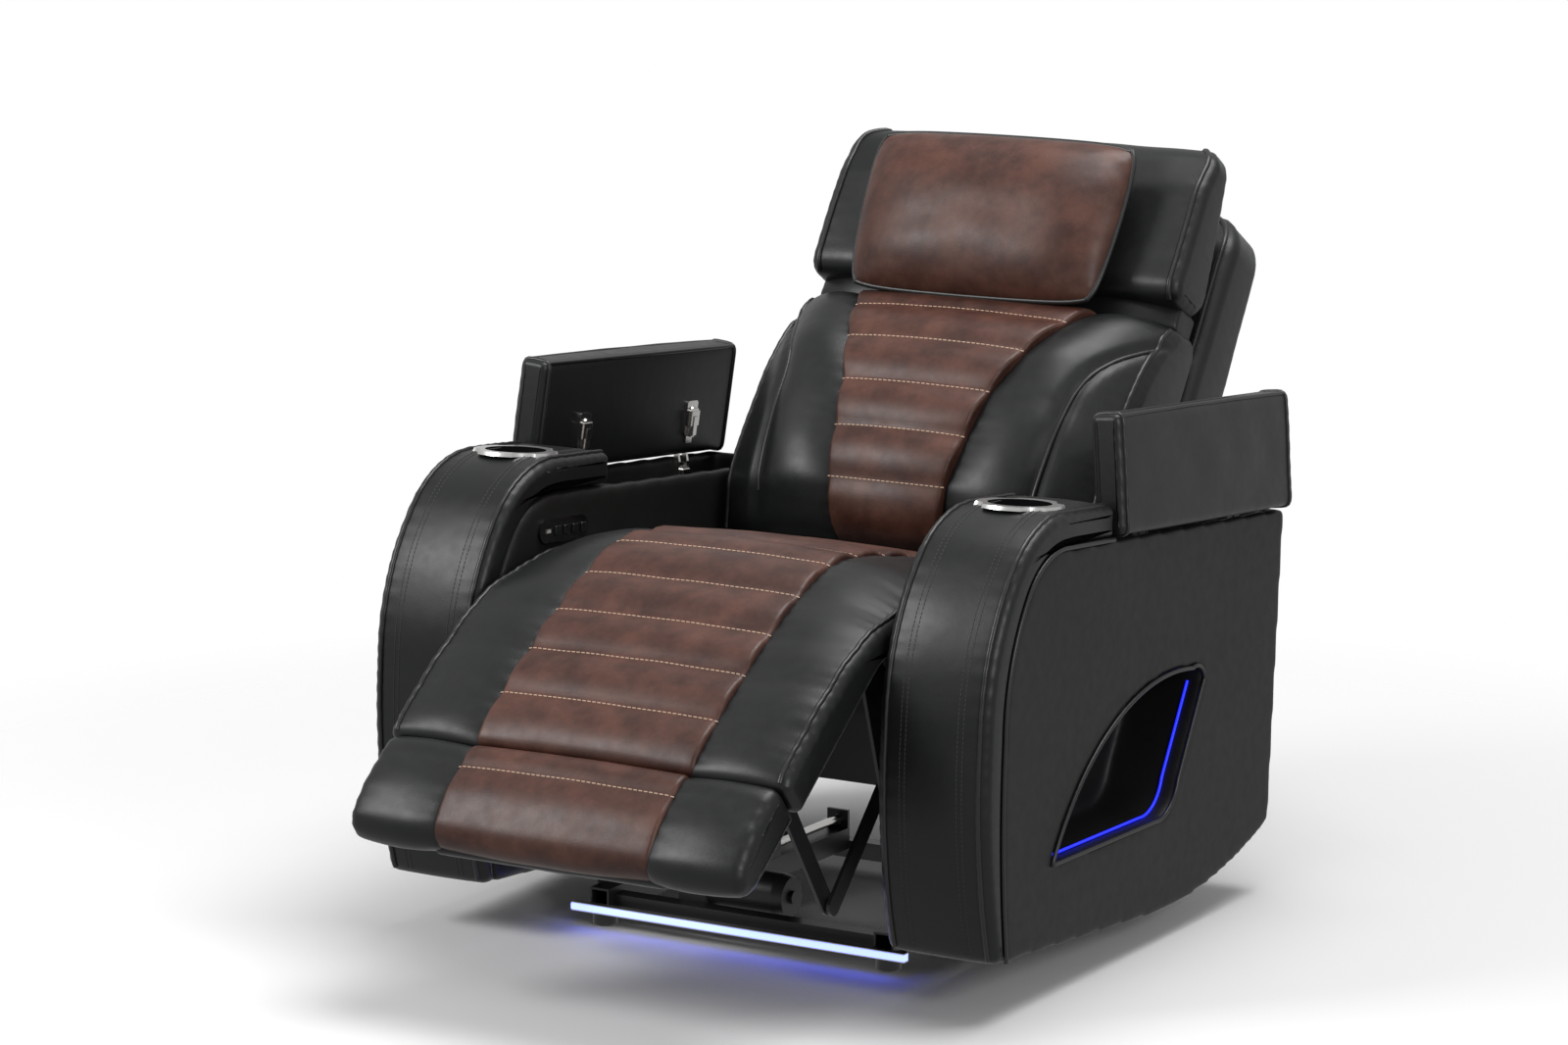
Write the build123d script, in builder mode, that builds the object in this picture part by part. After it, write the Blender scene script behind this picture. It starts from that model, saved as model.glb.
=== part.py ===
"""Power recliner with storage arms, cup holders, a powered footrest, back and headrest.

The chair is drawn half reclined, with its footrest out and both arm lids open.
X runs across the chair, Y from front to back, Z up. Lengths are millimetres, angles degrees.
Each moving group is drawn in a frame of its own and then placed on what carries it.
"""

import math
import os

from build123d import *

# Driving dimensions of the chair as a whole
arm_outer_x = 470.0
arm_width = 160.0
arm_inner_x = arm_outer_x - arm_width
arm_core_inner_x = arm_inner_x + 2
arm_front_y = -255.0
arm_rear_y = 587.0
arm_bottom_z = 62.0
arm_top_z = 629.0
arm_rear_bottom_z = 145.0
arm_curve_start_y = 230.0
side_gap = 8.0
cushion_half_width = arm_inner_x - side_gap
brown_half_width = 164.0
fit_gap = 0.4
pin_gap = 0.08
soft_gap = 1.0

# Angles of the chair as it stands
seat_tilt_angle = 4.5
back_angle = 30.0
footrest_slope = 42.0
lid_open_angle = 84.0

# Base on the floor
glide_radius = 17.0
glide_height = 18.0
rail_x = 223.0
rail_width = 30.0
rail_height = 35.0
rail_wall = 3.0
rail_front_y = -56.0
rail_rear_y = 430.0
glide_inset = 14.0
tube_side = 25.0
tube_wall = 2.0
front_tube_y = -40.0
rear_tube_y = 380.0
light_bar_half = 261.0
light_bar_side = 12.0
light_channel_wall = 1.5
tilt_pivot_y = 20.0
tilt_pivot_z = 100.0
tilt_pin_radius = 8.0
plate_thickness = 5.0
bracket_half_length = 50.0

# Actuator under the seat
actuator_x = -100.0
gearbox_width = 48.0
gearbox_depth = 60.0
gearbox_height = 73.0
motor_radius = 31.0
motor_length = 100.0
motor_cap_length = 16.0
screw_radius = 6.0
actuator_rail_wall = 3.0
actuator_rail_width = 34.0
actuator_rail_height = 30.0
slider_length = 46.0
slider_travel_front = 60.0

# Seat carriage
side_plate_x = 255.0
hinge_y = -190.0
hinge_z = 425.0
hinge_tube_radius = 12.0
back_pivot_y = 370.0
back_pivot_z = 430.0
back_pin_radius = 8.0
seat_front_y = -130.0
seat_rear_y = 234.0
seat_deck_z = 400.0
seat_deck_thickness = 15.0
seat_crown_z = 542.0
seat_rear_z = 505.0
seat_slope_start = 196.0
seat_slope_drop = 36.0
seat_rail_height = 60.0
seat_rear_panel_height = 210.0
seat_rail_depth = 25.0

# Footrest, along its own slope
roll_outer = 88.0
roll_inner = 28.0
chaise_end = 281.0
ottoman_end = 425.0
board_thickness = 13.0
board_start = 60.0
board_end = 405.0
link_pivot_reach = 232.0
link_width = 26.0
link_thickness = 5.0

# Arms
pad_thickness = 45.0
pad_end_y = 68.0
lid_rear_y = arm_rear_y - 4.0
wall_thickness = 18.0
well_front_y = 90.0
well_depth = 150.0
cup_y = -50.0
cup_flange_radius = 59.0
cup_bore_radius = 42.0
cup_wall = 2.5
cup_depth = 78.0
cup_flange_thickness = 5.0
pocket_depth = 110.0
light_strip_thickness = 6.0
light_strip_width = 14.0

# Lids and their hinges
lid_thickness = 43.0
lid_round = 13.0
lid_seat_gap = 2.0
lid_axis_inset = 14.5
lid_axis_rise = 15.5
lid_pin_radius = 4.0
lid_barrel_radius = 8.0
lid_notch_radius = 20.0
lid_hinge_ys = (185.0, 470.0)
hinge_leaf_width = 28.0
hinge_leaf_length = 52.0
hinge_leaf_thickness = 3.0
hinge_barrel_length = 16.0
hinge_ear_thickness = 5.0

# Control panel on the inside of one arm
panel_y = -49.0
panel_z = 532.0
panel_length = 118.0
panel_height = 34.0
panel_thickness = 4.0
button_side = 13.0
button_pitch = 21.0
button_count = 4
button_proud = 2.5
button_travel = 1.5
port_length = 15.0
port_height = 7.0

# Back, measured from its pivot as if upright
shell_front = 62.0
shell_rear = 168.0
shell_bottom = -40.0
shell_top = 682.0
shell_half_width = 304.0
back_bracket_depth = 12.0
back_pad_rear = shell_front - back_bracket_depth - 0.3
back_pad_bottom = 36.0
back_pad_top = 446.0
head_axis_y = 54.0
head_axis_z = 456.0
head_rod_radius = 4.0
head_eye_radius = 7.5
head_bracket_x = 150.0
pillow_half_width = 206.0

parts = []


def keep(part, label, place):
    """Names a finished piece and remembers which frame it is drawn in."""
    part.label = label
    parts.append((label, part, place))


def turned(point, centre, degrees):
    """A (y, z) point turned about a centre, the right-hand way about X."""
    c, s = math.cos(math.radians(degrees)), math.sin(math.radians(degrees))
    dy, dz = point[0] - centre[0], point[1] - centre[1]
    return centre[0] + dy * c - dz * s, centre[1] + dy * s + dz * c


# Frames
world = Location((0, 0, 0))
carriage = Rotation(-seat_tilt_angle, 0, 0)
footrest = carriage * Pos(0, hinge_y, hinge_z) * Rotation(footrest_slope, 0, 0)
backrest = carriage * Pos(0, back_pivot_y, back_pivot_z) * Rotation(-back_angle, 0, 0)


# Base on the floor
rail_top = glide_height + rail_height
rail_inner_x = rail_x - rail_width / 2
rail_outer_x = rail_x + rail_width / 2

with BuildPart() as base_rails:
    for side in (-1, 1):
        with BuildSketch(Plane.XZ.offset(-rail_front_y)):
            with Locations((side * rail_x, glide_height + rail_height / 2)):
                Rectangle(rail_width, rail_height)
                Rectangle(rail_width - 2 * rail_wall, rail_height - 2 * rail_wall, mode=Mode.SUBTRACT)
        extrude(amount=-(rail_rear_y - rail_front_y))
keep(base_rails.part, "base_rails", world)

with BuildPart() as floor_glides:
    with BuildSketch():
        glide_ys = (rail_front_y + glide_inset, rail_rear_y - glide_inset)
        with Locations([(side * rail_x, y) for side in (-1, 1) for y in glide_ys]):
            Circle(glide_radius)
    extrude(amount=glide_height)
    chamfer(floor_glides.edges().group_by(Axis.Z)[0], 2)
keep(floor_glides.part, "floor_glides", world)


def cross_tube(front_y):
    """A square tube between the two base rails."""
    with BuildPart() as tube:
        with BuildSketch(Plane.YZ.offset(-rail_inner_x)):
            with Locations((front_y + tube_side / 2, glide_height + tube_side / 2)):
                Rectangle(tube_side, tube_side)
                Rectangle(tube_side - 2 * tube_wall, tube_side - 2 * tube_wall, mode=Mode.SUBTRACT)
        extrude(amount=2 * rail_inner_x)
    return tube.part


keep(cross_tube(front_tube_y), "front_cross_tube", world)
keep(cross_tube(rear_tube_y), "rear_cross_tube", world)

light_bar_y = rail_front_y - light_bar_side / 2
light_bar_z = glide_height + light_bar_side / 2 + 2
with BuildPart() as light_channel:
    with BuildSketch(Plane.YZ.offset(-light_bar_half)):
        with Locations((light_bar_y, light_bar_z)):
            Rectangle(light_bar_side, light_bar_side)
        with Locations((light_bar_y - light_channel_wall, light_bar_z)):
            Rectangle(light_bar_side, light_bar_side - 2 * light_channel_wall, mode=Mode.SUBTRACT)
    extrude(amount=2 * light_bar_half)
keep(light_channel.part, "light_bar_channel", world)

with BuildPart() as light_diffuser:
    with BuildSketch(Plane.YZ.offset(-light_bar_half)):
        with Locations((light_bar_y - light_channel_wall, light_bar_z)):
            RectangleRounded(light_bar_side - 0.4, light_bar_side - 2 * light_channel_wall - 0.4, 1.5)
    extrude(amount=2 * light_bar_half)
keep(light_diffuser.part, "light_bar_diffuser", world)

bracket_top = tilt_pivot_z + 30
with BuildPart() as tilt_brackets:
    for side in (-1, 1):
        with BuildSketch(Plane.YZ.offset(side * (rail_outer_x + plate_thickness / 2) - plate_thickness / 2)):
            with BuildLine():
                low = glide_height + 4
                Polyline(
                    (tilt_pivot_y - bracket_half_length, low),
                    (tilt_pivot_y + bracket_half_length, low),
                    (tilt_pivot_y + bracket_half_length, rail_top),
                    (tilt_pivot_y + 24, tilt_pivot_z + 8),
                    (tilt_pivot_y + 10, bracket_top),
                    (tilt_pivot_y - 10, bracket_top),
                    (tilt_pivot_y - 24, tilt_pivot_z + 8),
                    (tilt_pivot_y - bracket_half_length, rail_top),
                    close=True,
                )
            make_face()
        extrude(amount=plate_thickness)
        pin_start = rail_outer_x + plate_thickness
        pin_end = side_plate_x + plate_thickness + 4
        with BuildSketch(Plane.YZ.offset(side * pin_start)):
            with Locations((tilt_pivot_y, tilt_pivot_z)):
                Circle(tilt_pin_radius)
        extrude(amount=side * (pin_end - pin_start))
keep(tilt_brackets.part, "tilt_pivot_brackets", world)

# Actuator: gearbox, motor, screw, rail and the slider that runs on the rail
gearbox_front = front_tube_y + tube_side
gearbox_rear = gearbox_front + gearbox_depth
gearbox_bottom = glide_height + 4
screw_z = gearbox_bottom + 52
motor_y = gearbox_front + gearbox_depth / 2
motor_z = gearbox_bottom + 38

with BuildPart() as gearbox:
    with BuildSketch(Plane.XY.offset(gearbox_bottom)):
        with Locations((actuator_x, motor_y)):
            Rectangle(gearbox_width, gearbox_depth)
    extrude(amount=gearbox_height)
    fillet(gearbox.edges().filter_by(Axis.Z), 5)
    chamfer(gearbox.faces().sort_by(Axis.Z)[-1].edges(), 3)
keep(gearbox.part, "gearbox_housing", world)

motor_start = actuator_x + gearbox_width / 2
with BuildPart() as motor:
    with BuildSketch(Plane.YZ.offset(motor_start)):
        with Locations((motor_y, motor_z)):
            Circle(motor_radius)
    extrude(amount=motor_length)
    fillet(motor.edges().filter_by(GeomType.CIRCLE).sort_by(Axis.X)[0], 2)
keep(motor.part, "drive_motor", world)

with BuildPart() as motor_cap:
    with BuildSketch(Plane.YZ.offset(motor_start + motor_length)):
        with Locations((motor_y, motor_z)):
            Circle(motor_radius)
    extrude(amount=motor_cap_length, taper=12)
    with BuildSketch(Plane.YZ.offset(motor_start + motor_length + motor_cap_length)):
        with Locations((motor_y, motor_z)):
            Circle(9)
    extrude(amount=5)
keep(motor_cap.part, "motor_end_cap", world)

with BuildPart() as lead_screw:
    with BuildSketch(Plane.XZ.offset(-gearbox_rear)):
        with Locations((actuator_x, screw_z)):
            Circle(screw_radius)
    extrude(amount=-(rear_tube_y - gearbox_rear))
keep(lead_screw.part, "lead_screw", world)

actuator_rail_top = screw_z - screw_radius - 6
with BuildPart() as actuator_rail:
    with BuildSketch(Plane.XZ.offset(-gearbox_rear)):
        with Locations((actuator_x, actuator_rail_top - actuator_rail_height / 2)):
            Rectangle(actuator_rail_width, actuator_rail_height)
        with Locations((actuator_x, actuator_rail_top - actuator_rail_height / 2 - actuator_rail_wall)):
            Rectangle(actuator_rail_width - 2 * actuator_rail_wall, actuator_rail_height, mode=Mode.SUBTRACT)
    extrude(amount=-(rear_tube_y - gearbox_rear))
    with BuildSketch(Plane.XZ.offset(-rear_tube_y + plate_thickness)):
        with Locations((actuator_x, (actuator_rail_top + screw_z + 14) / 2)):
            Rectangle(actuator_rail_width, screw_z + 14 - actuator_rail_top)
        with Locations((actuator_x, screw_z)):
            Circle(screw_radius + fit_gap, mode=Mode.SUBTRACT)
    extrude(amount=-plate_thickness)
keep(actuator_rail.part, "actuator_rail", world)

slider_y = gearbox_rear + slider_travel_front + 40
with BuildPart() as slider:
    with BuildSketch(Plane.XZ.offset(-slider_y)):
        low = actuator_rail_top + fit_gap
        with Locations((actuator_x, (low + screw_z + 16) / 2)):
            Rectangle(actuator_rail_width, screw_z + 16 - low)
        with Locations((actuator_x, screw_z + 30)):
            Rectangle(8, 30)
        with Locations((actuator_x, screw_z)):
            Circle(screw_radius + fit_gap, mode=Mode.SUBTRACT)
    extrude(amount=-slider_length)
keep(slider.part, "actuator_slider", world)


# Seat carriage: side plates, cross rails, deck and cushion
tilt_local = turned((tilt_pivot_y, tilt_pivot_z), (0, 0), seat_tilt_angle)
link_pivot = (-120.0, 260.0)

side_plate_outline = (
    (hinge_y - 20, hinge_z - 16),
    (hinge_y - 12, hinge_z + 16),
    (hinge_y + 12, hinge_z + 16),
    (seat_front_y, seat_deck_z - 6),
    (back_pivot_y - 40, seat_deck_z - 6),
    (back_pivot_y - 24, back_pivot_z + 14),
    (back_pivot_y - 10, back_pivot_z + 20),
    (back_pivot_y + 12, back_pivot_z + 18),
    (back_pivot_y + 20, back_pivot_z),
    (back_pivot_y - 22, seat_deck_z - 60),
    (220, 250),
    (tilt_local[0] + 30, tilt_local[1] - 10),
    (tilt_local[0] + 12, tilt_local[1] - 24),
    (tilt_local[0] - 12, tilt_local[1] - 24),
    (tilt_local[0] - 30, tilt_local[1] - 10),
    (link_pivot[0] - 22, link_pivot[1] - 16),
)


def side_plate(side):
    """The steel plate that carries the seat and the arm on one side."""
    with BuildPart() as plate:
        with BuildSketch(Plane.YZ.offset(side * (side_plate_x + plate_thickness / 2) - plate_thickness / 2)):
            with BuildLine():
                Polyline(*side_plate_outline, close=True)
            make_face()
            with Locations(tilt_local):
                Circle(tilt_pin_radius + pin_gap, mode=Mode.SUBTRACT)
            with Locations((back_pivot_y, back_pivot_z)):
                Circle(back_pin_radius + pin_gap, mode=Mode.SUBTRACT)
        extrude(amount=plate_thickness)
    return plate.part


for side, name in ((-1, "left"), (1, "right")):
    keep(side_plate(side), f"side_plate_{name}", carriage)

with BuildPart() as arm_bolts:
    for side in (-1, 1):
        bolt_start = side * (side_plate_x + plate_thickness)
        with BuildSketch(Plane.YZ.offset(bolt_start)):
            with Locations([(y, seat_deck_z - 40) for y in (-60, 60, 180, 300)]):
                Circle(6)
        extrude(amount=side * (arm_core_inner_x - side_plate_x - plate_thickness))
keep(arm_bolts.part, "arm_spacer_bolts", carriage)

with BuildPart() as hinge_tube:
    with BuildSketch(Plane.YZ.offset(-side_plate_x)):
        with Locations((hinge_y, hinge_z)):
            Circle(hinge_tube_radius)
            Circle(hinge_tube_radius - 2, mode=Mode.SUBTRACT)
    extrude(amount=2 * side_plate_x)
keep(hinge_tube.part, "footrest_hinge_tube", carriage)


def seat_rail(front_y, height):
    """A wooden rail across the seat, under its deck, between the side plates."""
    with BuildPart() as rail:
        with BuildSketch(Plane.YZ.offset(-side_plate_x)):
            with Locations((front_y + seat_rail_depth / 2, seat_deck_z - height / 2)):
                Rectangle(seat_rail_depth, height)
        extrude(amount=2 * side_plate_x)
    return rail.part


seat_rail_front_y = hinge_y + roll_outer + 12
keep(seat_rail(seat_rail_front_y, seat_rail_height), "seat_rail_front", carriage)
keep(seat_rail(seat_rear_y - seat_rail_depth, seat_rear_panel_height), "seat_rail_rear", carriage)

with BuildPart() as seat_deck:
    with BuildSketch(Plane.XY.offset(seat_deck_z)):
        with Locations((0, (seat_rail_front_y + seat_rear_y) / 2)):
            Rectangle(2 * cushion_half_width - 20, seat_rear_y - seat_rail_front_y)
    extrude(amount=seat_deck_thickness)
keep(seat_deck.part, "seat_deck", carriage)

seat_base_z = seat_deck_z + seat_deck_thickness
seat_stitches = [
    (-136.0, seat_crown_z - 10),
    (-70.0, seat_crown_z),
    (4.0, seat_crown_z - 5),
    (80.0, seat_crown_z - 14),
    (156.0, seat_rear_z + 12),
    (216.0, seat_rear_z),
]
roll_clear = roll_outer + soft_gap


def channel_arcs(points, bulge):
    """Arcs from stitch to stitch, each swelling by bulge to the left of the way it runs."""
    for (y0, z0), (y1, z1) in zip(points, points[1:]):
        length = math.hypot(y1 - y0, z1 - z0)
        middle = ((y0 + y1) / 2 - (z1 - z0) / length * bulge, (z0 + z1) / 2 + (y1 - y0) / length * bulge)
        ThreePointArc((y0, z0), middle, (y1, z1))


def seat_pad(x_from, x_to, bulge, lift, side=0):
    """One section of the seat cushion, with a channel between each two stitch lines.
    A side section slopes down to its outer edge, so that the controls on the arm stay in reach."""
    top = [(y, z + lift) for y, z in seat_stitches]
    with BuildPart() as pad:
        with BuildSketch(Plane.YZ.offset(x_from)):
            with BuildLine():
                channel_arcs(top, bulge)
                Line(top[-1], (seat_rear_y, seat_rear_z - 30))
                Line((seat_rear_y, seat_rear_z - 30), (seat_rear_y, seat_base_z))
                Line((seat_rear_y, seat_base_z), (top[0][0], seat_base_z))
                Line((top[0][0], seat_base_z), top[0])
            make_face()
            with Locations((hinge_y, hinge_z)):
                Circle(roll_clear, mode=Mode.SUBTRACT)
        extrude(amount=x_to - x_from)
        if side:
            with BuildSketch(Plane.XZ.offset(-top[0][0] + 5)):
                with BuildLine():
                    Polyline(
                        (side * seat_slope_start, seat_crown_z),
                        (side * (cushion_half_width + 1), seat_crown_z - seat_slope_drop),
                        (side * (cushion_half_width + 1), seat_crown_z + 20),
                        (side * seat_slope_start, seat_crown_z + 20),
                        close=True,
                    )
                make_face()
            extrude(amount=-(seat_rear_y - top[0][0] + 10), mode=Mode.SUBTRACT)
    return pad.part


keep(seat_pad(-brown_half_width, brown_half_width, 5, 0), "seat_center_panel", carriage)
for side, name in ((-1, "left"), (1, "right")):
    ends = sorted((side * (brown_half_width + fit_gap), side * cushion_half_width))
    keep(seat_pad(*ends, 2, -6, side), f"seat_side_panel_{name}", carriage)


# Footrest: roll, chaise and ottoman sections, drawn level and pointing to the front
chaise_stitches = [(-44.8, 87.0), (-119.7, 93.0), (-200.2, 97.0), (-chaise_end, 93.0)]
ottoman_stitches = [(-chaise_end - 2, 93.0), (-chaise_end - 44, 96.0), (-ottoman_end + 26, 88.0)]
roll_back_angle = 75.0


def chaise_pad(x_from, x_to, bulge, lift):
    """The padded section between the seat and the ottoman, curled over the footrest hinge."""
    c, s = math.cos(math.radians(90 - roll_back_angle)), math.sin(math.radians(90 - roll_back_angle))
    half = math.radians(90 - roll_back_angle / 2)
    top = [(y, z + lift) for y, z in chaise_stitches]
    with BuildPart() as pad:
        with BuildSketch(Plane.YZ.offset(x_from)):
            with BuildLine():
                Line((-chaise_end, roll_inner), (0, roll_inner))
                inner_mid = (roll_inner * math.cos(half), roll_inner * math.sin(half))
                ThreePointArc((0, roll_inner), inner_mid, (roll_inner * c, roll_inner * s))
                Line((roll_inner * c, roll_inner * s), (roll_outer * c, roll_outer * s))
                outer_mid = (roll_outer * math.cos(half), roll_outer * math.sin(half))
                ThreePointArc((roll_outer * c, roll_outer * s), outer_mid, (0, roll_outer))
                Line((0, roll_outer), top[0])
                channel_arcs(top, -bulge)
                Line(top[-1], (-chaise_end, roll_inner))
            make_face()
        extrude(amount=x_to - x_from)
    return pad.part


def ottoman_pad(x_from, x_to, bulge, lift):
    """The padded end of the footrest, rounded over its front edge."""
    top = [(y, z + lift) for y, z in ottoman_stitches]
    front = (-ottoman_end, (roll_inner + top[-1][1]) / 2)
    with BuildPart() as pad:
        with BuildSketch(Plane.YZ.offset(x_from)):
            with BuildLine():
                Line((-ottoman_end + 20, roll_inner), (-chaise_end - 2, roll_inner))
                Line((-chaise_end - 2, roll_inner), top[0])
                channel_arcs(top, -bulge)
                ThreePointArc(top[-1], front, (-ottoman_end + 20, roll_inner))
            make_face()
        extrude(amount=x_to - x_from)
    return pad.part


for make, form in ((chaise_pad, "chaise"), (ottoman_pad, "ottoman")):
    keep(make(-brown_half_width, brown_half_width, 5, 0), f"{form}_center_panel", footrest)
    for side, name in ((-1, "left"), (1, "right")):
        ends = sorted((side * (brown_half_width + fit_gap), side * (cushion_half_width - 4)))
        keep(make(*ends, 2, -3), f"{form}_side_panel_{name}", footrest)

board_half_width = cushion_half_width - 30
with BuildPart() as footrest_board:
    with BuildSketch(Plane.XY.offset(roll_inner - board_thickness)):
        with Locations((0, -(board_start + board_end) / 2)):
            RectangleRounded(2 * board_half_width, board_end - board_start, 12)
    extrude(amount=board_thickness)
keep(footrest_board.part, "footrest_board", footrest)

arm_plate_x = 226.0
arm_plate_top = roll_inner - board_thickness
with BuildPart() as footrest_arms:
    for side in (-1, 1):
        with BuildSketch(Plane.YZ.offset(side * (arm_plate_x + link_thickness / 2) - link_thickness / 2)):
            with BuildLine():
                Polyline(
                    (20, -20),
                    (20, 14),
                    (-board_start, arm_plate_top),
                    (-board_end + 60, arm_plate_top),
                    (-board_end + 60, -2),
                    (-link_pivot_reach - 18, -18),
                    (-link_pivot_reach + 18, -18),
                    close=True,
                )
            make_face()
            Circle(hinge_tube_radius + pin_gap, mode=Mode.SUBTRACT)
        extrude(amount=link_thickness)
keep(footrest_arms.part, "footrest_arms", footrest)

# Knee links that prop the footrest: one pair on the footrest arms, one pair on the side plates
link_top = turned((hinge_y - link_pivot_reach, hinge_z), (hinge_y, hinge_z), footrest_slope)
knee = (-240.0, 115.0)
link_pin_radius = 6.0


def knee_link(start, end, x_inner, pin_from, pin_to):
    """A pair of flat links, one each side, with a pivot pin at the start and a boss at the knee."""
    angle = math.degrees(math.atan2(end[1] - start[1], end[0] - start[0]))
    length = math.hypot(end[0] - start[0], end[1] - start[1])
    with BuildPart() as link:
        for side in (-1, 1):
            with BuildSketch(Plane.YZ.offset(side * (x_inner + link_thickness / 2) - link_thickness / 2)):
                with Locations(((start[0] + end[0]) / 2, (start[1] + end[1]) / 2)):
                    SlotCenterToCenter(length, link_width, rotation=angle)
            extrude(amount=link_thickness)
            with BuildSketch(Plane.YZ.offset(side * x_inner)):
                with Locations(end):
                    Circle(link_pin_radius + 3)
            extrude(amount=-side * 4)
            with BuildSketch(Plane.YZ.offset(side * pin_from)):
                with Locations(start):
                    Circle(link_pin_radius)
            extrude(amount=side * (pin_to - pin_from))
    return link.part


front_link_x = arm_plate_x + link_thickness + 5
rear_link_x = front_link_x + link_thickness + 5
front_pin_from = arm_plate_x + link_thickness + 0.2
rear_pin_from = rear_link_x + link_thickness
front_links = knee_link(link_top, knee, front_link_x, front_pin_from, front_link_x)
rear_links = knee_link(link_pivot, knee, rear_link_x, rear_pin_from, side_plate_x - 0.2)
keep(front_links, "footrest_front_links", carriage)
keep(rear_links, "footrest_rear_links", carriage)


# Arms
core_top = arm_top_z - pad_thickness


def arm_front_curve(inset):
    """The front and top line of an arm, from its foot to the end of the front pad, moved in by inset."""
    foot = (arm_front_y + 50 + inset * 0.55, arm_bottom_z)
    belly = (arm_front_y + inset, 350.0)
    shoulder = (arm_front_y + 62 + inset * 0.72, 560.0 - inset * 0.55)
    crown = (arm_front_y + 195, arm_top_z - inset)
    ThreePointArc(foot, (arm_front_y + 12 + inset * 0.9, 200.0), belly)
    ThreePointArc(belly, (arm_front_y + 12 + inset * 0.95, 460.0 - inset * 0.2), shoulder)
    ThreePointArc(shoulder, (arm_front_y + 118 + inset * 0.4, 609.0 - inset * 0.85), crown)
    return foot, crown


pocket_points = dict(
    toe=(-66.0, 172.0),
    arch=(92.0, 338.0),
    peak=(318.0, 388.0),
    tip=(356.0, 372.0),
    elbow_top=(290.0, 240.0),
    elbow=(268.0, 204.0),
    elbow_low=(226.0, 190.0),
)


def pocket_outline():
    """The shark-fin opening in the outer face of an arm."""
    q = pocket_points
    ThreePointArc(q["toe"], q["arch"], q["peak"])
    ThreePointArc(q["peak"], (345.0, 386.0), q["tip"])
    Line(q["tip"], q["elbow_top"])
    ThreePointArc(q["elbow_top"], q["elbow"], q["elbow_low"])
    Line(q["elbow_low"], q["toe"])


def arm_core(side):
    """The upholstered arm box, with its storage well, side pocket and cup bore."""
    inner, outer = arm_core_inner_x, arm_outer_x
    start = side * inner
    with BuildPart() as core:
        with BuildSketch(Plane.YZ.offset(start)):
            with BuildLine():
                foot, crown = arm_front_curve(pad_thickness + soft_gap)
                Line(crown, (arm_rear_y, core_top - soft_gap))
                Line((arm_rear_y, core_top - soft_gap), (arm_rear_y, arm_rear_bottom_z))
                sweep_mid = (arm_curve_start_y + 200, arm_bottom_z + 26)
                ThreePointArc((arm_rear_y, arm_rear_bottom_z), sweep_mid, (arm_curve_start_y, arm_bottom_z))
                Line((arm_curve_start_y, arm_bottom_z), foot)
            make_face()
        extrude(amount=side * (outer - inner))
        fillet(core.edges().filter_by(Axis.X).group_by(Axis.Y)[-1].sort_by(Axis.Z)[-1], 10)
        with BuildSketch(Plane.XY.offset(core_top)):
            with Locations((side * (inner + outer) / 2, (well_front_y + arm_rear_y - wall_thickness) / 2)):
                well_length = arm_rear_y - wall_thickness - well_front_y
                RectangleRounded(outer - inner - 2 * wall_thickness, well_length, 8)
        extrude(amount=-well_depth, mode=Mode.SUBTRACT)
        with BuildSketch(Plane.YZ.offset(side * outer)):
            with BuildLine():
                pocket_outline()
            make_face()
        extrude(amount=-side * pocket_depth, mode=Mode.SUBTRACT)
        with BuildSketch(Plane.XY.offset(core_top)):
            with Locations((side * (inner + outer) / 2, cup_y)):
                Circle(cup_bore_radius + cup_wall + soft_gap)
        extrude(amount=-(cup_depth - pad_thickness + 6), mode=Mode.SUBTRACT)
    return core.part


def arm_front_pad(side):
    """The padded band over the front and the front of the top of an arm."""
    inner, outer = arm_inner_x, arm_outer_x + 2
    with BuildPart() as pad:
        with BuildSketch(Plane.YZ.offset(side * inner)):
            with BuildLine():
                foot, crown = arm_front_curve(0)
                Line(crown, (pad_end_y, arm_top_z))
                Line((pad_end_y, arm_top_z), (pad_end_y, core_top))
                inner_foot, inner_crown = arm_front_curve(pad_thickness)
                Line((pad_end_y, core_top), inner_crown)
                Line(inner_foot, foot)
            make_face()
        extrude(amount=side * (outer - inner))
        fillet(pad.edges().filter_by(Axis.X).group_by(Axis.Y)[-1].sort_by(Axis.Z)[-1], 8)
        with BuildSketch(Plane.XY.offset(arm_top_z)):
            with Locations((side * (inner + outer) / 2, cup_y)):
                Circle(cup_bore_radius + cup_wall + soft_gap)
        extrude(amount=-pad_thickness - 10, mode=Mode.SUBTRACT)
    return pad.part


def cup_holder(side):
    """A flanged cup insert with four scallops in its rim."""
    centre = (side * (arm_inner_x + arm_outer_x + 2) / 2, cup_y)
    with BuildPart() as cup:
        with BuildSketch(Plane.XY.offset(arm_top_z)):
            with Locations(centre):
                Circle(cup_flange_radius)
                with PolarLocations(cup_flange_radius + 18, 4, start_angle=45):
                    Circle(26, mode=Mode.SUBTRACT)
        extrude(amount=cup_flange_thickness, taper=20)
        with BuildSketch(Plane.XY.offset(arm_top_z + cup_flange_thickness)):
            with Locations(centre):
                Circle(cup_bore_radius + cup_wall)
        extrude(amount=-cup_depth - cup_flange_thickness)
        with BuildSketch(Plane.XY.offset(arm_top_z + cup_flange_thickness)):
            with Locations(centre):
                Circle(cup_bore_radius)
        extrude(amount=-cup_depth - cup_flange_thickness + cup_wall, mode=Mode.SUBTRACT)
    return cup.part


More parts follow.
